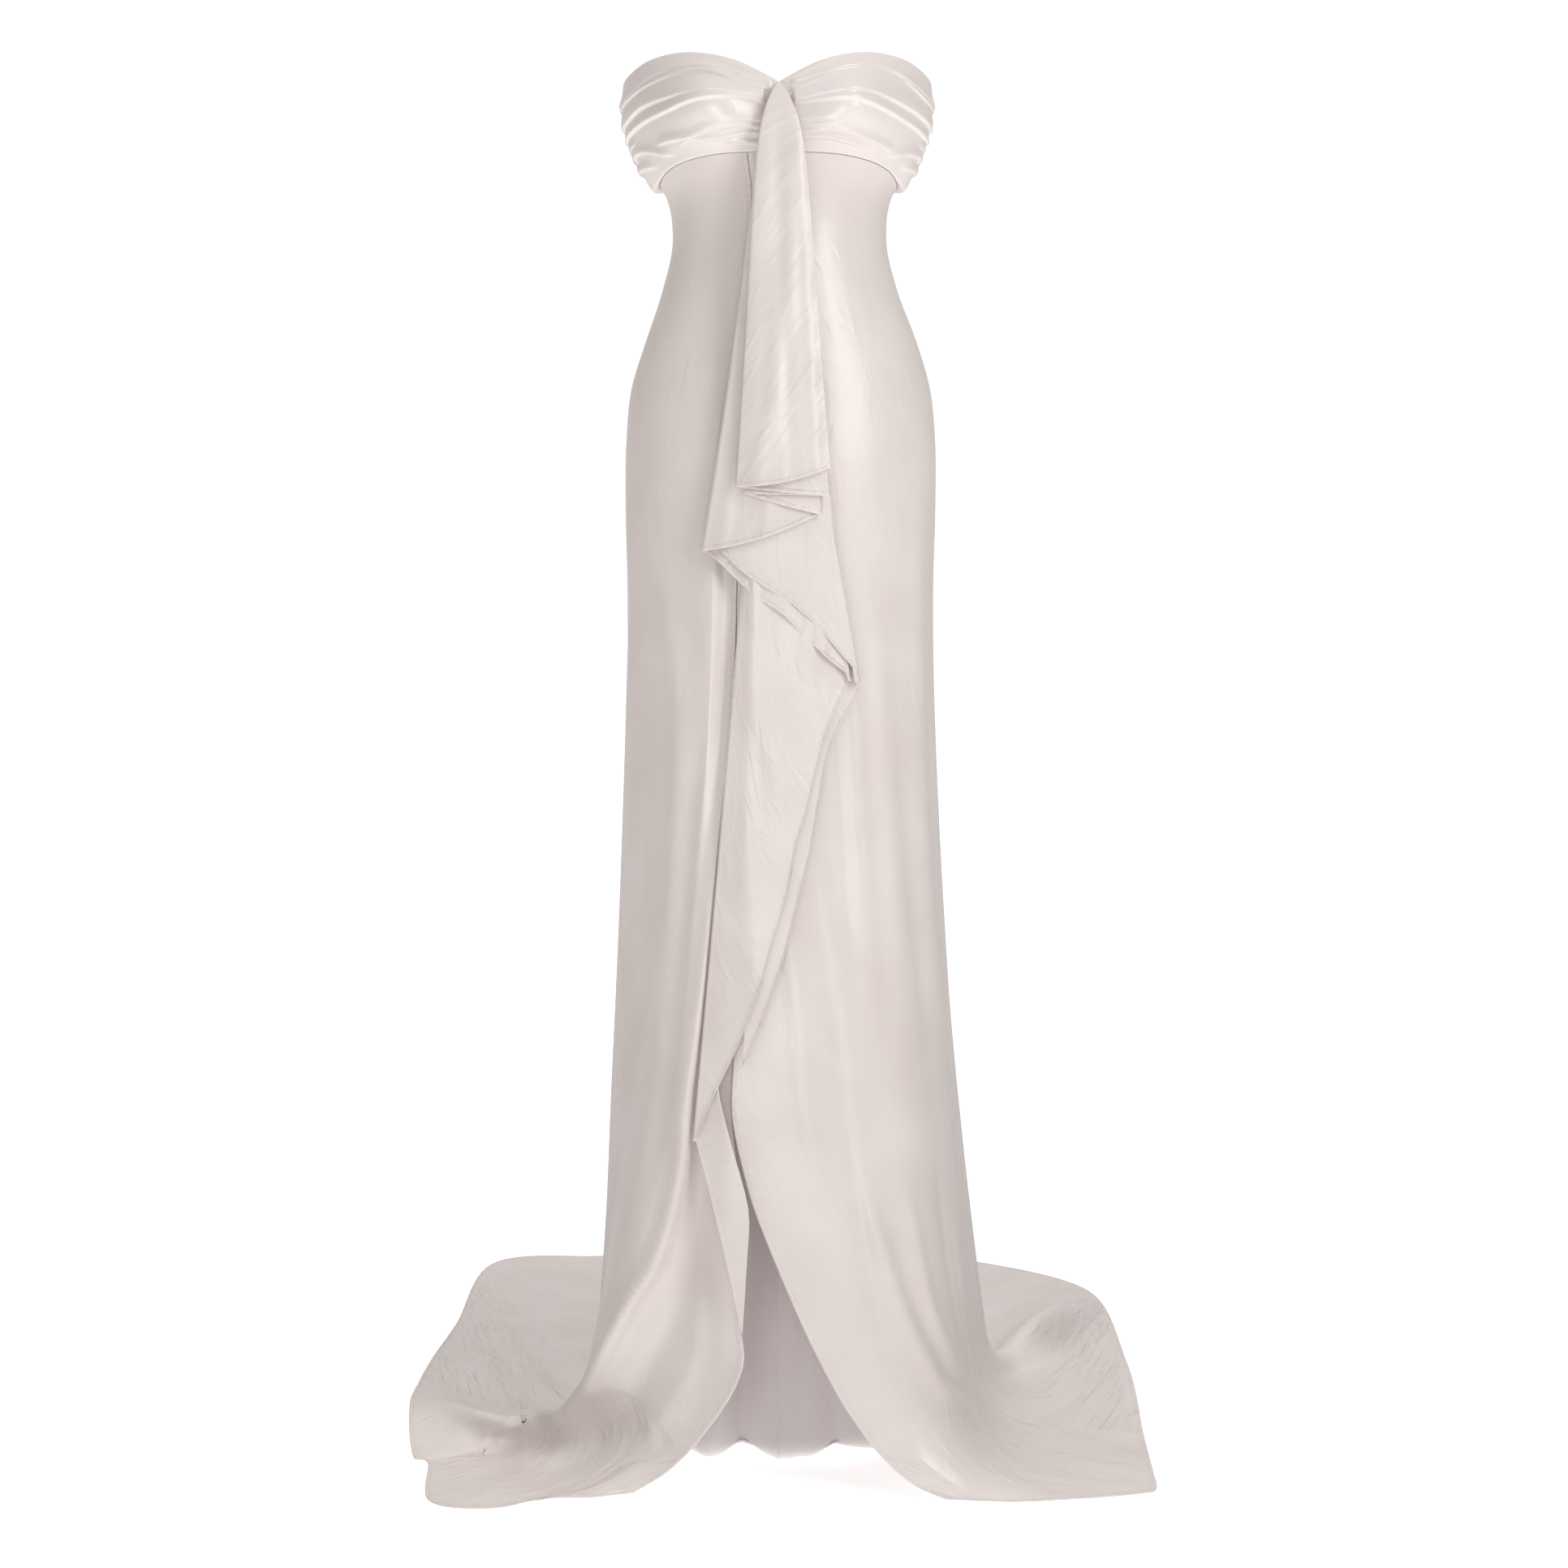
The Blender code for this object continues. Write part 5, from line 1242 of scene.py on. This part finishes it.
    def band(
        self, name: str, start: float, end: float, tucks: Sequence[Tuck], columns: int, rows: int
    ) -> bpy.types.Object:
        """One gathered piece between two angles, with half a seam's gap at both ends."""
        share = np.linspace(0, 1, columns)[:, None]
        down = np.linspace(0, 1, rows)[None, :]
        angle = start + (end - start) * share
        top, foot = FORM.seam(FORM.neckline, angle), FORM.seam(FORM.underbust, angle)
        span = top - foot
        height = top - span * down
        base, facing = FORM.point(angle, height), FORM.facing(angle, height)
        late = smooth_step((share - self.side_bulk_start) / (1 - self.side_bulk_start))
        bulk = self.side_bulk * late * (0.25 + 0.75 * down**2)
        edge = np.minimum(down, 1 - down) * span
        rolled = np.sqrt(np.clip(edge / self.edge_roll, 0, 1))
        puffed = self.puff * smooth_step(edge / self.puff_reach)
        folds = self.relief(tucks, share, down, span) * smooth_step(edge / self.relief_reach)
        off = self.lift * rolled + folds + bulk + puffed
        for pit in self.pits:
            near = bell((share - pit.share) / pit.across) * bell((down - pit.down) / pit.tall)
            off = off - pit.depth * near
        outer = base + facing * off[..., None]
        inner = base - facing * (self.cloth * (0.3 + 0.7 * rolled))[..., None]
        for grid in (outer, inner):
            across = unit(np.gradient(grid, axis=0))
            grid[0] += across[0] * SEAM / 2
            grid[-1] -= across[-1] * SEAM / 2
        if end < start:
            outer, inner = outer[::-1], inner[::-1]
        plain, far = np.full(outer.shape[:2], self.crinkle), np.ones(outer.shape[:2])
        piece = shell(name + "_cloth", outer, inner, (self.finishes.gathered, self.finishes.back), plain, far)
        put_on_dress(piece, name)
        self.cuts[name].declare(piece, "gathered")
        report(piece, outer)
        return piece

    def build(self) -> None:
        """The two cups and the two halves of the back band."""
        front, back = (self.columns, self.rows), (self.back_columns, self.back_rows)
        self.band("bust_left", 0.0, 90.0, self.left_cup, *front)
        self.band("bust_right", 0.0, -90.0, self.right_cup, *front)
        self.band("back_band_left", 180.0, 90.0, self.back, *back)
        self.band("back_band_right", 180.0, 270.0, self.back, *back)


def hem_path(rows: Sequence[Edge], shares: np.ndarray) -> np.ndarray:
    """Across and height of a hem at shares of its length, as two rows."""
    points = np.stack([column(rows, "x"), column(rows, "height")])
    steps = np.linalg.norm(np.diff(points, axis=1), axis=0)
    places = np.concatenate([[0], np.cumsum(steps)]) / steps.sum()
    return np.stack([curve(shares, places, line) for line in points])


def hem_bow(rows: Sequence[Edge], shares: np.ndarray) -> np.ndarray:
    """How far a hem's path lies from the straight line between its ends."""
    path = hem_path(rows, shares)
    return path - path[:, :1] - (path[:, -1:] - path[:, :1]) * shares


@dataclass
class Cascade:
    """The pleated length that hangs from the centre of the neckline in a zigzag, and its facing."""

    finishes: Finishes
    cloth: float = 0.0006
    third_tier: int = 5
    long_face: int = 6
    knot_height: float = 1.4820
    knot_half_width: float = 0.0016
    shoulder_drop: float = 0.08
    low_start: float = 0.70
    low_height: float = 1.0500
    wrap: float = 2.2
    turn_reach: float = 75.0
    turn_columns: int = 9
    crinkle: float = 0.6
    facing_crinkle: float = 0.4
    facing_steps: int = 44
    roll: float = 0.0006
    roll_reach: float = 0.0030
    roll_fall: float = 0.0012
    folds: tuple[DrapeFold, ...] = (
        DrapeFold("tongue_edge", 0.0529, 1.0863, 0.46, 1.25),
        DrapeFold("tongue_fold", -0.0442, 1.0671, 0.50, 1.40),
        DrapeFold("second_right", 0.0521, 1.0579, 0.42, 1.25),
        DrapeFold("second_left", -0.0360, 1.0600, 0.42, 1.40),
        DrapeFold("third_right", 0.0437, 1.0387, 0.42, 1.25),
        DrapeFold("third_left", -0.0802, 1.0011, 0.22, 1.35),
        DrapeFold("swing_right", 0.0742, 0.8660, 0.32, 1.90),
        DrapeFold("long_left", -0.0906, 0.3814, 0.00, 1.15),
    )
    layers: tuple[DrapeLayer, ...] = (
        DrapeLayer(0.0155, 0.0335, 0.0050, 0.0055, 40),
        DrapeLayer(0.0134, 0.0300, 0.0010, 0.0015, 14),
        DrapeLayer(0.0113, 0.0270, 0.0000, 0.0015, 12),
        DrapeLayer(0.0092, 0.0240, 0.0010, 0.0012, 14),
        DrapeLayer(0.0071, 0.0205, 0.0055, 0.0015, 26),
        DrapeLayer(0.0050, 0.0125, 0.0000, 0.0010, 40),
        DrapeLayer(0.0029, 0.0080, 0.0000, 0.0025, 56),
        DrapeLayer(0.0008, 0.0020, -0.0100, 0.0000, 24),
    )
    swing_hem: tuple[Edge, ...] = (
        Edge(1.0016, -0.0807), Edge(0.9860, -0.0621), Edge(0.9674, -0.0423), Edge(0.9522, -0.0227),
        Edge(0.9339, 0.0052), Edge(0.9171, 0.0220), Edge(0.9016, 0.0387), Edge(0.8864, 0.0555),
        Edge(0.8793, 0.0650), Edge(0.8740, 0.0712), Edge(0.8660, 0.0742),
    )
    long_hem: tuple[Edge, ...] = (
        Edge(0.8660, 0.0742), Edge(0.8590, 0.0730), Edge(0.8510, 0.0683), Edge(0.8416, 0.0620),
        Edge(0.8290, 0.0565), Edge(0.8080, 0.0498), Edge(0.7855, 0.0429), Edge(0.7354, 0.0303),
        Edge(0.6965, 0.0187), Edge(0.6323, 0.0052), Edge(0.5850, -0.0100), Edge(0.5344, -0.0251),
        Edge(0.4837, -0.0453), Edge(0.4145, -0.0781), Edge(0.3814, -0.0906),
    )
    swing_fold: tuple[Edge, ...] = (
        Edge(1.4820, 0.0030), Edge(1.4000, 0.0190), Edge(1.3000, 0.0290), Edge(1.2000, 0.0360),
        Edge(1.1000, 0.0445), Edge(1.0510, 0.0505), Edge(0.9515, 0.0555), Edge(0.9200, 0.0620),
        Edge(0.8870, 0.0715), Edge(0.8660, 0.0742),
    )
    leaf_fold: tuple[Edge, ...] = (
        Edge(1.4820, 0.0030), Edge(0.9500, -0.0240), Edge(0.7000, -0.0400), Edge(0.5500, -0.0550),
        Edge(0.4900, -0.0610), Edge(0.4500, -0.0640), Edge(0.4277, -0.0625), Edge(0.3890, -0.0543),
        Edge(0.3546, -0.0433), Edge(0.3116, -0.0323), Edge(0.2512, -0.0340), Edge(0.1713, -0.0391),
    )
    depths: tuple[Edge, ...] = (  # here x is the depth of the drape's back
        Edge(0.170, -0.1290), Edge(0.350, -0.1275), Edge(0.600, -0.1240), Edge(0.900, -0.1190),
        Edge(1.050, -0.1160), Edge(1.150, -0.1140), Edge(1.250, -0.1110), Edge(1.334, -0.1090),
        Edge(1.410, -0.1090), Edge(1.450, -0.1084), Edge(1.482, -0.1068),
    )
    rows: int = 132
    hem_rows_start: float = 0.015
    hem_rows: tuple[float, ...] = (0.012, 0.009, 0.007, 0.0055, 0.0042, 0.003, 0.0018, 0.0009, 0.0)
    stitch_reach: float = 0.0042
    stitches: list[tuple[np.ndarray, np.ndarray]] = field(default_factory=list)
    cuts: dict[str, Cut] = field(default_factory=lambda: {
        "front_drape": Cut(0.62, 1.32, 0.37),
        "front_drape_facing": Cut(0.30, 0.62, 0.33),
    })
    facing_top: float = 1.100
    facing_top_left: float = -0.0300
    facing_top_back: float = 0.0
    facing_ahead: float = 0.0032
    facing_behind: float = 0.0035
    facing_fold: tuple[Edge, ...] = (
        Edge(1.1000, 0.0490), Edge(1.0510, 0.0555), Edge(0.9515, 0.0632), Edge(0.9200, 0.0700),
        Edge(0.8870, 0.0810), Edge(0.8640, 0.0842),
    )
    facing_front: tuple[Edge, ...] = (
        Edge(1.0025, -0.0618), Edge(0.9787, -0.0369), Edge(0.9619, -0.0116), Edge(0.9480, 0.0108),
        Edge(0.9296, 0.0330), Edge(0.9115, 0.0498), Edge(0.8933, 0.0650), Edge(0.8820, 0.0750),
        Edge(0.8735, 0.0812), Edge(0.8640, 0.0842),
    )
    facing_back: tuple[Edge, ...] = (
        Edge(0.8640, 0.0842), Edge(0.8560, 0.0832), Edge(0.8480, 0.0800), Edge(0.8387, 0.0751),
        Edge(0.8232, 0.0650), Edge(0.8023, 0.0555), Edge(0.7855, 0.0498), Edge(0.7659, 0.0456),
        Edge(0.7268, 0.0389), Edge(0.6864, 0.0321), Edge(0.6458, 0.0220), Edge(0.5783, 0.0052),
        Edge(0.5310, -0.0100), Edge(0.4905, -0.0251), Edge(0.4601, -0.0386),
    )
    ripples: tuple[Ripple, ...] = (
        Ripple(0, 0.05, 0.78, 0.011, 0.0026),
        Ripple(0, 0.90, 0.86, 0.009, 0.0009),
        Ripple(0, 0.08, 0.14, 0.007, 0.0016),
        Ripple(0, 0.62, 0.40, 0.008, -0.0018),
        Ripple(4, 0.88, 0.86, 0.007, 0.0016),
        Ripple(4, 0.30, 0.46, 0.010, 0.0020),
        Ripple(5, 0.84, 0.80, 0.008, 0.0030),
        Ripple(5, 0.55, 0.52, 0.011, 0.0024),
        Ripple(5, 0.30, 0.22, 0.009, -0.0016),
        Ripple(6, 1.43, 0.27, 0.009, 0.0034),
        Ripple(6, 1.78, -0.22, 0.010, 0.0034),
        Ripple(6, 0.38, 0.10, 0.008, 0.0026),
        Ripple(6, 1.60, 0.02, 0.012, -0.0018),
        Ripple(6, 0.98, 0.66, 0.010, 0.0022),
        Ripple(7, 0.60, 0.55, 0.012, 0.0020),
    )

    def near_hem(self, down: np.ndarray) -> np.ndarray:
        """0 at first, then the square of the share of the lowest part, and 1 at the hem."""
        return np.clip((down - self.low_start) / (1 - self.low_start), 0, 1) ** 2

    def fold_line(self, fold: DrapeFold, down: np.ndarray) -> tuple[np.ndarray, np.ndarray]:
        """Across and height of a fold: a shoulder that fills out fast, then a power of the way down."""
        height = self.knot_height + (fold.hem_height - self.knot_height) * down
        shoulder = fold.shoulder * (1 - np.exp(-down / self.shoulder_drop))
        across = fold.hem_x * (shoulder + (1 - fold.shoulder) * down**fold.drift)
        return across + math.copysign(self.knot_half_width, fold.hem_x) * (1 - down), height

    def depth(self, x: np.ndarray, height: np.ndarray, stand: np.ndarray) -> np.ndarray:
        """Depth of a layer: the drape's back, wrapped round the body, less how far the layer stands off."""
        return by_height(self.depths, "x", height) + self.wrap * x * x - stand

    def stand(self, layer: DrapeLayer, height: np.ndarray) -> np.ndarray:
        """How far a layer stands off the drape's back, from its place at the knot to its lower one."""
        share = smooth_step((self.knot_height - height) / (self.knot_height - self.low_height))
        return layer.knot + (layer.low - layer.knot) * share

    def turn(
        self, x: np.ndarray, z: np.ndarray, side: float, front: np.ndarray, back: np.ndarray
    ) -> list[np.ndarray]:
        """Columns of a fold's half-round turn between the layers in front and behind."""
        radius = (front - back) / 2
        columns = []
        for angle in np.radians(np.linspace(-self.turn_reach, self.turn_reach, self.turn_columns)):
            stand = (front + back) / 2 - radius * math.sin(angle)
            place = x + side * radius * math.cos(angle)
            columns.append(np.stack([place, self.depth(x, z, stand), z], axis=-1))
        return columns

    def surface(self, down: np.ndarray) -> tuple[np.ndarray, np.ndarray]:
        """The cascade's middle surface: layer after layer, joined by half-round turns at the folds.

        A layer runs straight between its two folds' lines, with soft ripples down it. Its hem sags by half a
        wave across. The two layers that meet at the swinging fold have hems that follow their own paths.

        Args:
            down: Shares of the way down, one for each row.

        Returns:
            The grid, and how crinkled each point is.
        """
        lines = [self.fold_line(fold, down) for fold in self.folds]
        swing_z = self.knot_height + (self.swing_fold[-1].height - self.knot_height) * down
        lines[self.third_tier + 1] = (by_height(self.swing_fold, "x", swing_z), swing_z)
        long_hem = self.folds[-1].hem_height
        leaf_z = self.knot_height + (long_hem - self.knot_height) * down
        leaf_z = leaf_z - (long_hem - self.leaf_fold[-1].height) * self.near_hem(down)
        lines.append((by_height(self.leaf_fold, "x", leaf_z), leaf_z))
        turns = []
        for number, (x, z) in enumerate(lines):
            side = math.copysign(1, x[-1])
            radius = 0
            if 0 < number < len(self.layers):
                ahead, behind = (self.stand(layer, z) for layer in self.layers[number - 1 : number + 1])
                radius = (ahead - behind) / 2
            turns.append((x - side * radius, z, side))
        columns = []
        for number, layer in enumerate(self.layers):
            (start_x, start_z, _), (end_x, end_z, side) = turns[number], turns[number + 1]
            span = np.abs(end_x - start_x)
            path = {self.third_tier: self.swing_hem, self.long_face: self.long_hem}.get(number)
            steps = np.linspace(0, 1, layer.steps + 1)
            sagging = np.stack([0 * steps, -layer.sag * np.sin(math.pi * steps)])
            bows = hem_bow(path, steps) if path else sagging
            for step, bow in zip(steps, bows.T):
                x = start_x + (end_x - start_x) * step + bow[0] * self.near_hem(down)
                z = start_z + (end_z - start_z) * step + bow[1] * self.near_hem(down)
                swell = layer.swell * math.sin(math.pi * step) * down
                for ripple in self.ripples:
                    if ripple.layer == number:
                        away = (step - ripple.top - (ripple.hem - ripple.top) * down) * span
                        swell = swell + ripple.height * bell(away / ripple.width) * smooth_step(down / 0.25)
                columns.append(np.stack([x, self.depth(x, z, self.stand(layer, z) + swell), z], axis=-1))
            if number + 1 < len(self.layers):
                front, back = (self.stand(near, end_z) for near in self.layers[number : number + 2])
                columns += self.turn(end_x, end_z, side, front, back)
        grid = np.array(columns)
        return grid, np.full(grid.shape[:2], self.crinkle) * smooth_step(down / 0.2)[None, :]

    def facing_surface(self, down: np.ndarray) -> np.ndarray:
        """The facing: in front of the third tier, round its right fold, and behind the long face."""
        fold_z = self.facing_top + (self.facing_fold[-1].height - self.facing_top) * down
        front = self.stand(self.layers[self.third_tier], fold_z) + self.facing_ahead
        back = self.stand(self.layers[self.long_face], fold_z) - self.facing_behind
        fold_x = by_height(self.facing_fold, "x", fold_z) - (front - back) / 2
        columns = []
        for hem, layer, off, start_x, end_x in (
            (self.facing_front, self.third_tier, self.facing_ahead, self.facing_top_left, fold_x[0]),
            (self.facing_back, self.long_face, -self.facing_behind, fold_x[0], self.facing_top_back),
        ):
            shares = np.linspace(0, 1, self.facing_steps)
            hem_x, hem_z = hem_path(hem, shares)
            for share, low_x, low_z in zip(shares, hem_x, hem_z):
                top_x = start_x + (end_x - start_x) * share
                x = top_x + (low_x - top_x) * down
                z = self.facing_top + (low_z - self.facing_top) * down
                at_fold = share == (1.0 if layer == self.third_tier else 0.0)
                x = fold_x if at_fold else x
                stand = self.stand(self.layers[layer], z) + off
                columns.append(np.stack([x, self.depth(x, z, stand), z], axis=-1))
            if layer == self.third_tier:
                columns += self.turn(fold_x, fold_z, 1, front, back)
        return np.array(columns)

    def cloth_piece(self, name: str, grid: np.ndarray, crinkle: np.ndarray) -> bpy.types.Object:
        """A closed shell, half the cloth to each side of the middle surface, with a rolled hem."""
        facing = normals(grid)
        to_hem = metres_to_end(grid, 1)
        near = smooth_step(1 - (to_hem - self.roll_reach) / self.roll_fall)
        rolled = near * np.sqrt(np.clip(to_hem / self.roll, 0.1, 1))
        half = (self.cloth / 2 + self.roll * rolled)[..., None]
        both = (self.finishes.drape, self.finishes.drape)
        piece = shell(name + "_cloth", grid + facing * half, grid - facing * half, both, crinkle, to_hem)
        put_on_dress(piece, name)
        self.cuts[name].declare(piece, "hung")
        for side in (1, -1):
            line = line_near_hem(grid + side * facing * half, to_hem, self.stitch_reach)
            self.stitches.append((line, side * line_near_hem(facing, to_hem, self.stitch_reach)))
        report(piece, grid)
        return piece

    def build(self) -> None:
        """The cascade and its facing."""
        hem_rows = 1 - np.array(self.hem_rows)
        down = np.concatenate([np.linspace(0, 1 - self.hem_rows_start, self.rows), hem_rows])
        grid, crinkle = self.surface(down)
        self.cloth_piece("front_drape", grid[::-1], crinkle[::-1])
        coarse, fine = np.linspace(0, 0.97, 90), np.linspace(0.975, 1, 12)
        facing = self.facing_surface(np.concatenate([coarse, fine]))
        self.cloth_piece("front_drape_facing", facing, np.full(facing.shape[:2], self.facing_crinkle))
        BlockRow().build("cascade_stitches", self.stitches, self.finishes.thread, Slot.DRAPE)


@dataclass
class ZipClosure:
    """The concealed zip at the centre back: its tape inside the seam, its coil, and the pull's finish."""

    finishes: Finishes
    tape_half_width: float = 0.0150
    tape_depth: float = 0.0016
    tape_cloth: float = 0.0005
    half_coil: float = 0.0011
    coil_start: int = 6
    columns: int = 9
    rows: int = 120
    cut: Cut = Cut(0.030, 0.335)
    tooth: BlockRow = BlockRow(pitch=0.0013, length=0.0008, half_width=0.0012, rise=0.0006, narrow=0.9)

    def surface(self, across: np.ndarray, height: np.ndarray, inwards: float) -> np.ndarray:
        """Points of the cut at distances across from the centre back, so far in from its face."""
        side = by_height(FORM.rings, "left", height)
        degrees = 180 - np.degrees(np.arcsin(across / side))
        return FORM.point(degrees, height) - FORM.facing(degrees, height) * inwards

    def build(self, nodes: dict[str, bpy.types.Object]) -> None:
        """The tape, the coil on its inner face, and enamel on the slider and the pull, whose solids stay."""
        low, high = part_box("zip_tape")
        height = np.linspace(high.z, low.z, self.rows)[None, :] + HOLD_HEIGHT
        across = np.linspace(self.tape_half_width, -self.tape_half_width, self.columns)[:, None]
        across, height = np.broadcast_arrays(across, height)
        outer = self.surface(across, height, self.tape_depth)
        inner = self.surface(across, height, self.tape_depth + self.tape_cloth)
        both = (self.finishes.tape, self.finishes.tape)
        tape = shell("zip_tape_cloth", outer[::-1], inner[::-1], both, 0 * height, 0 * height + 1)
        put_on_dress(tape, "zip_tape")
        self.cut.declare(tape, "stretched")
        down = height[0, self.coil_start :]
        depth = self.tape_depth + self.tape_cloth + self.tooth.rise
        inwards = -FORM.facing(0 * down + 180, down)
        lines = [(self.surface(0 * down + side * self.half_coil, down, depth), inwards) for side in (-1, 1)]
        self.tooth.build("zip_coil", lines, self.finishes.coil, Slot.TAPE)
        for name in ("zip_slider", "zip_pull"):
            for slot in nodes[name].material_slots:
                slot.material = self.finishes.enamel


@dataclass(frozen=True)
class Lobe:
    """A soft patch of the studio's surround: its direction and its strength in the middle."""

    axis: tuple[float, float, float]
    strength: float


@dataclass(frozen=True)
class Lamp:
    """A soft light aimed at a point: its place, its target, its width and height, and its power in watts."""

    name: str
    place: tuple[float, float, float]
    target: tuple[float, float, float]
    size: tuple[float, float]
    watts: float


@dataclass
class Studio:
    """The camera at the photograph's angle, a pale floor and soft lights."""

    lens: float = 85.7
    eye: tuple[float, float, float] = (0.0052, -4.0, -0.385)
    tilt_degrees: float = 4.518
    floor_z: float = -1.4518
    paper_glow: float = 0.62
    sky: tuple[float, float, float] = (1.0, 0.975, 0.955)
    lamps: tuple[Lamp, ...] = (
        Lamp("key", (1.9, -2.4, 0.9), (0, 0, -0.4), (0.9, 2.6), 50),
        Lamp("low_front", (-0.2, -3.2, -0.9), (0, 0, -1.1), (1.6, 1.0), 17),
    )
    flat_radii: tuple[float, ...] = (0.4, 2.0, 4.5)
    curve_radius: float = 7.0
    curve_size: float = 2.5
    wall_height: float = 8.0
    facets: int = 96
    lobes: tuple[Lobe, ...] = (
        Lobe((-1.0, 0.0, 0.0), 0.32),
        Lobe((0.0, 1.0, 0.0), 0.60),
        Lobe((0.0, -1.0, 0.0), 0.22),
        Lobe((0.0, 0.0, 1.0), 1.10),
        Lobe((0.0, 0.0, -1.0), 2.50),
    )

    def camera(self) -> None:
        """A camera 4 m in front, tilted down, with no shift."""
        data = bpy.data.cameras.new("Camera")
        data.lens = self.lens
        data.sensor_width = 36
        camera = bpy.data.objects.new("Camera", data)
        camera.location = self.eye
        camera.rotation_euler = (math.radians(90 - self.tilt_degrees), 0, 0)
        bpy.context.scene.collection.objects.link(camera)
        bpy.context.scene.camera = camera

    def floor(self) -> None:
        """A plain pale bowl: a flat floor that curves up into a wall all round."""
        turn = np.radians(np.linspace(0, 90, 16))
        curved = self.curve_radius + self.curve_size * np.sin(turn)
        radius = np.concatenate([self.flat_radii, curved, curved[-1:]])[:, None]
        up = self.curve_size - self.curve_size * np.cos(turn)
        rise = np.concatenate([0 * np.array(self.flat_radii), up, [self.wall_height]])[:, None] + self.floor_z
        angle = np.radians(np.linspace(0, 360, self.facets, endpoint=False))
        sides = np.broadcast_arrays(radius * np.cos(angle), radius * np.sin(angle), rise)
        rings = np.stack(sides, axis=-1)
        corner = np.arange(rings.shape[0] * rings.shape[1]).reshape(rings.shape[:2])
        beside = np.roll(corner, -1, axis=1)
        faces = np.stack([corner[:-1], corner[1:], beside[1:], beside[:-1]], axis=-1).reshape(-1, 4).tolist()
        mesh = bpy.data.meshes.new("studio_bowl")
        mesh.from_pydata(rings.reshape(-1, 3).tolist(), [], faces + [corner[0].tolist()])
        fibres = (300.0, 300.0, 300.0)
        paper = TrimFinish("Matt_paper", "#E9E8E7", "#E6E5E4", 0.9, 0.5, fibres, 0.00005, self.paper_glow)
        mesh.materials.append(paper.build())
        mesh.shade_smooth()
        bowl = bpy.data.objects.new("studio_bowl", mesh)
        bpy.context.scene.collection.objects.link(bowl)
        bowl.visible_diffuse = False
        bowl.visible_glossy = False
        bowl.visible_shadow = False

    def surround(self) -> None:
        """The light from all round: each lobe adds its strength times its squared share of the direction."""
        world = bpy.context.scene.world or bpy.data.worlds.new("World")
        bpy.context.scene.world = world
        world.use_nodes = True
        tree = world.node_tree
        direction = add_node(tree, "TexCoord").outputs["Generated"]
        total = None
        for lobe in self.lobes:
            along = add_node(tree, "VectorMath", {0: direction}, operation="DOT_PRODUCT")
            along.inputs[1].default_value = lobe.axis
            ahead = add_node(tree, "Math", {0: along.outputs["Value"]}, operation="MAXIMUM")
            ahead.inputs[1].default_value = 0.0
            square = add_node(tree, "Math", {0: ahead.outputs[0], 1: ahead.outputs[0]}, operation="MULTIPLY")
            links = {0: square.outputs[0]} | ({2: total} if total else {})
            added = add_node(tree, "Math", links, operation="MULTIPLY_ADD")
            added.inputs[1].default_value = lobe.strength
            if not total:
                added.inputs[2].default_value = 0.0
            total = added.outputs[0]
        background = tree.nodes["Background"]
        background.inputs["Color"].default_value = (*self.sky, 1)
        tree.links.new(total, background.inputs["Strength"])

    def light(self, lamp: Lamp) -> None:
        """One soft rectangular light."""
        data = bpy.data.lights.new(lamp.name, "AREA")
        data.shape = "RECTANGLE"
        data.size, data.size_y = lamp.size
        data.energy = lamp.watts
        light = bpy.data.objects.new(lamp.name, data)
        light.location = lamp.place
        aim = Vector(lamp.target) - Vector(lamp.place)
        light.rotation_euler = aim.to_track_quat("-Z", "Y").to_euler()
        bpy.context.scene.collection.objects.link(light)

    def build(self) -> None:
        """Camera, floor, lights and an even pale surround."""
        self.camera()
        self.floor()
        self.surround()
        for lamp in self.lamps:
            self.light(lamp)
        view = bpy.context.scene.view_settings
        view.view_transform = "Standard"
        view.look = "None"


def main() -> None:
    """Builds the dress on its frame, piece by piece, and the studio round it."""
    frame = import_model()
    finishes = make_finishes()
    Studio().build()
    Skirt(finishes).build()
    Bust(finishes).build()
    Cascade(finishes).build()
    ZipClosure(finishes).build(frame["nodes"])


if __name__ == "__main__":
    logging.basicConfig(level=logging.INFO)
    main()
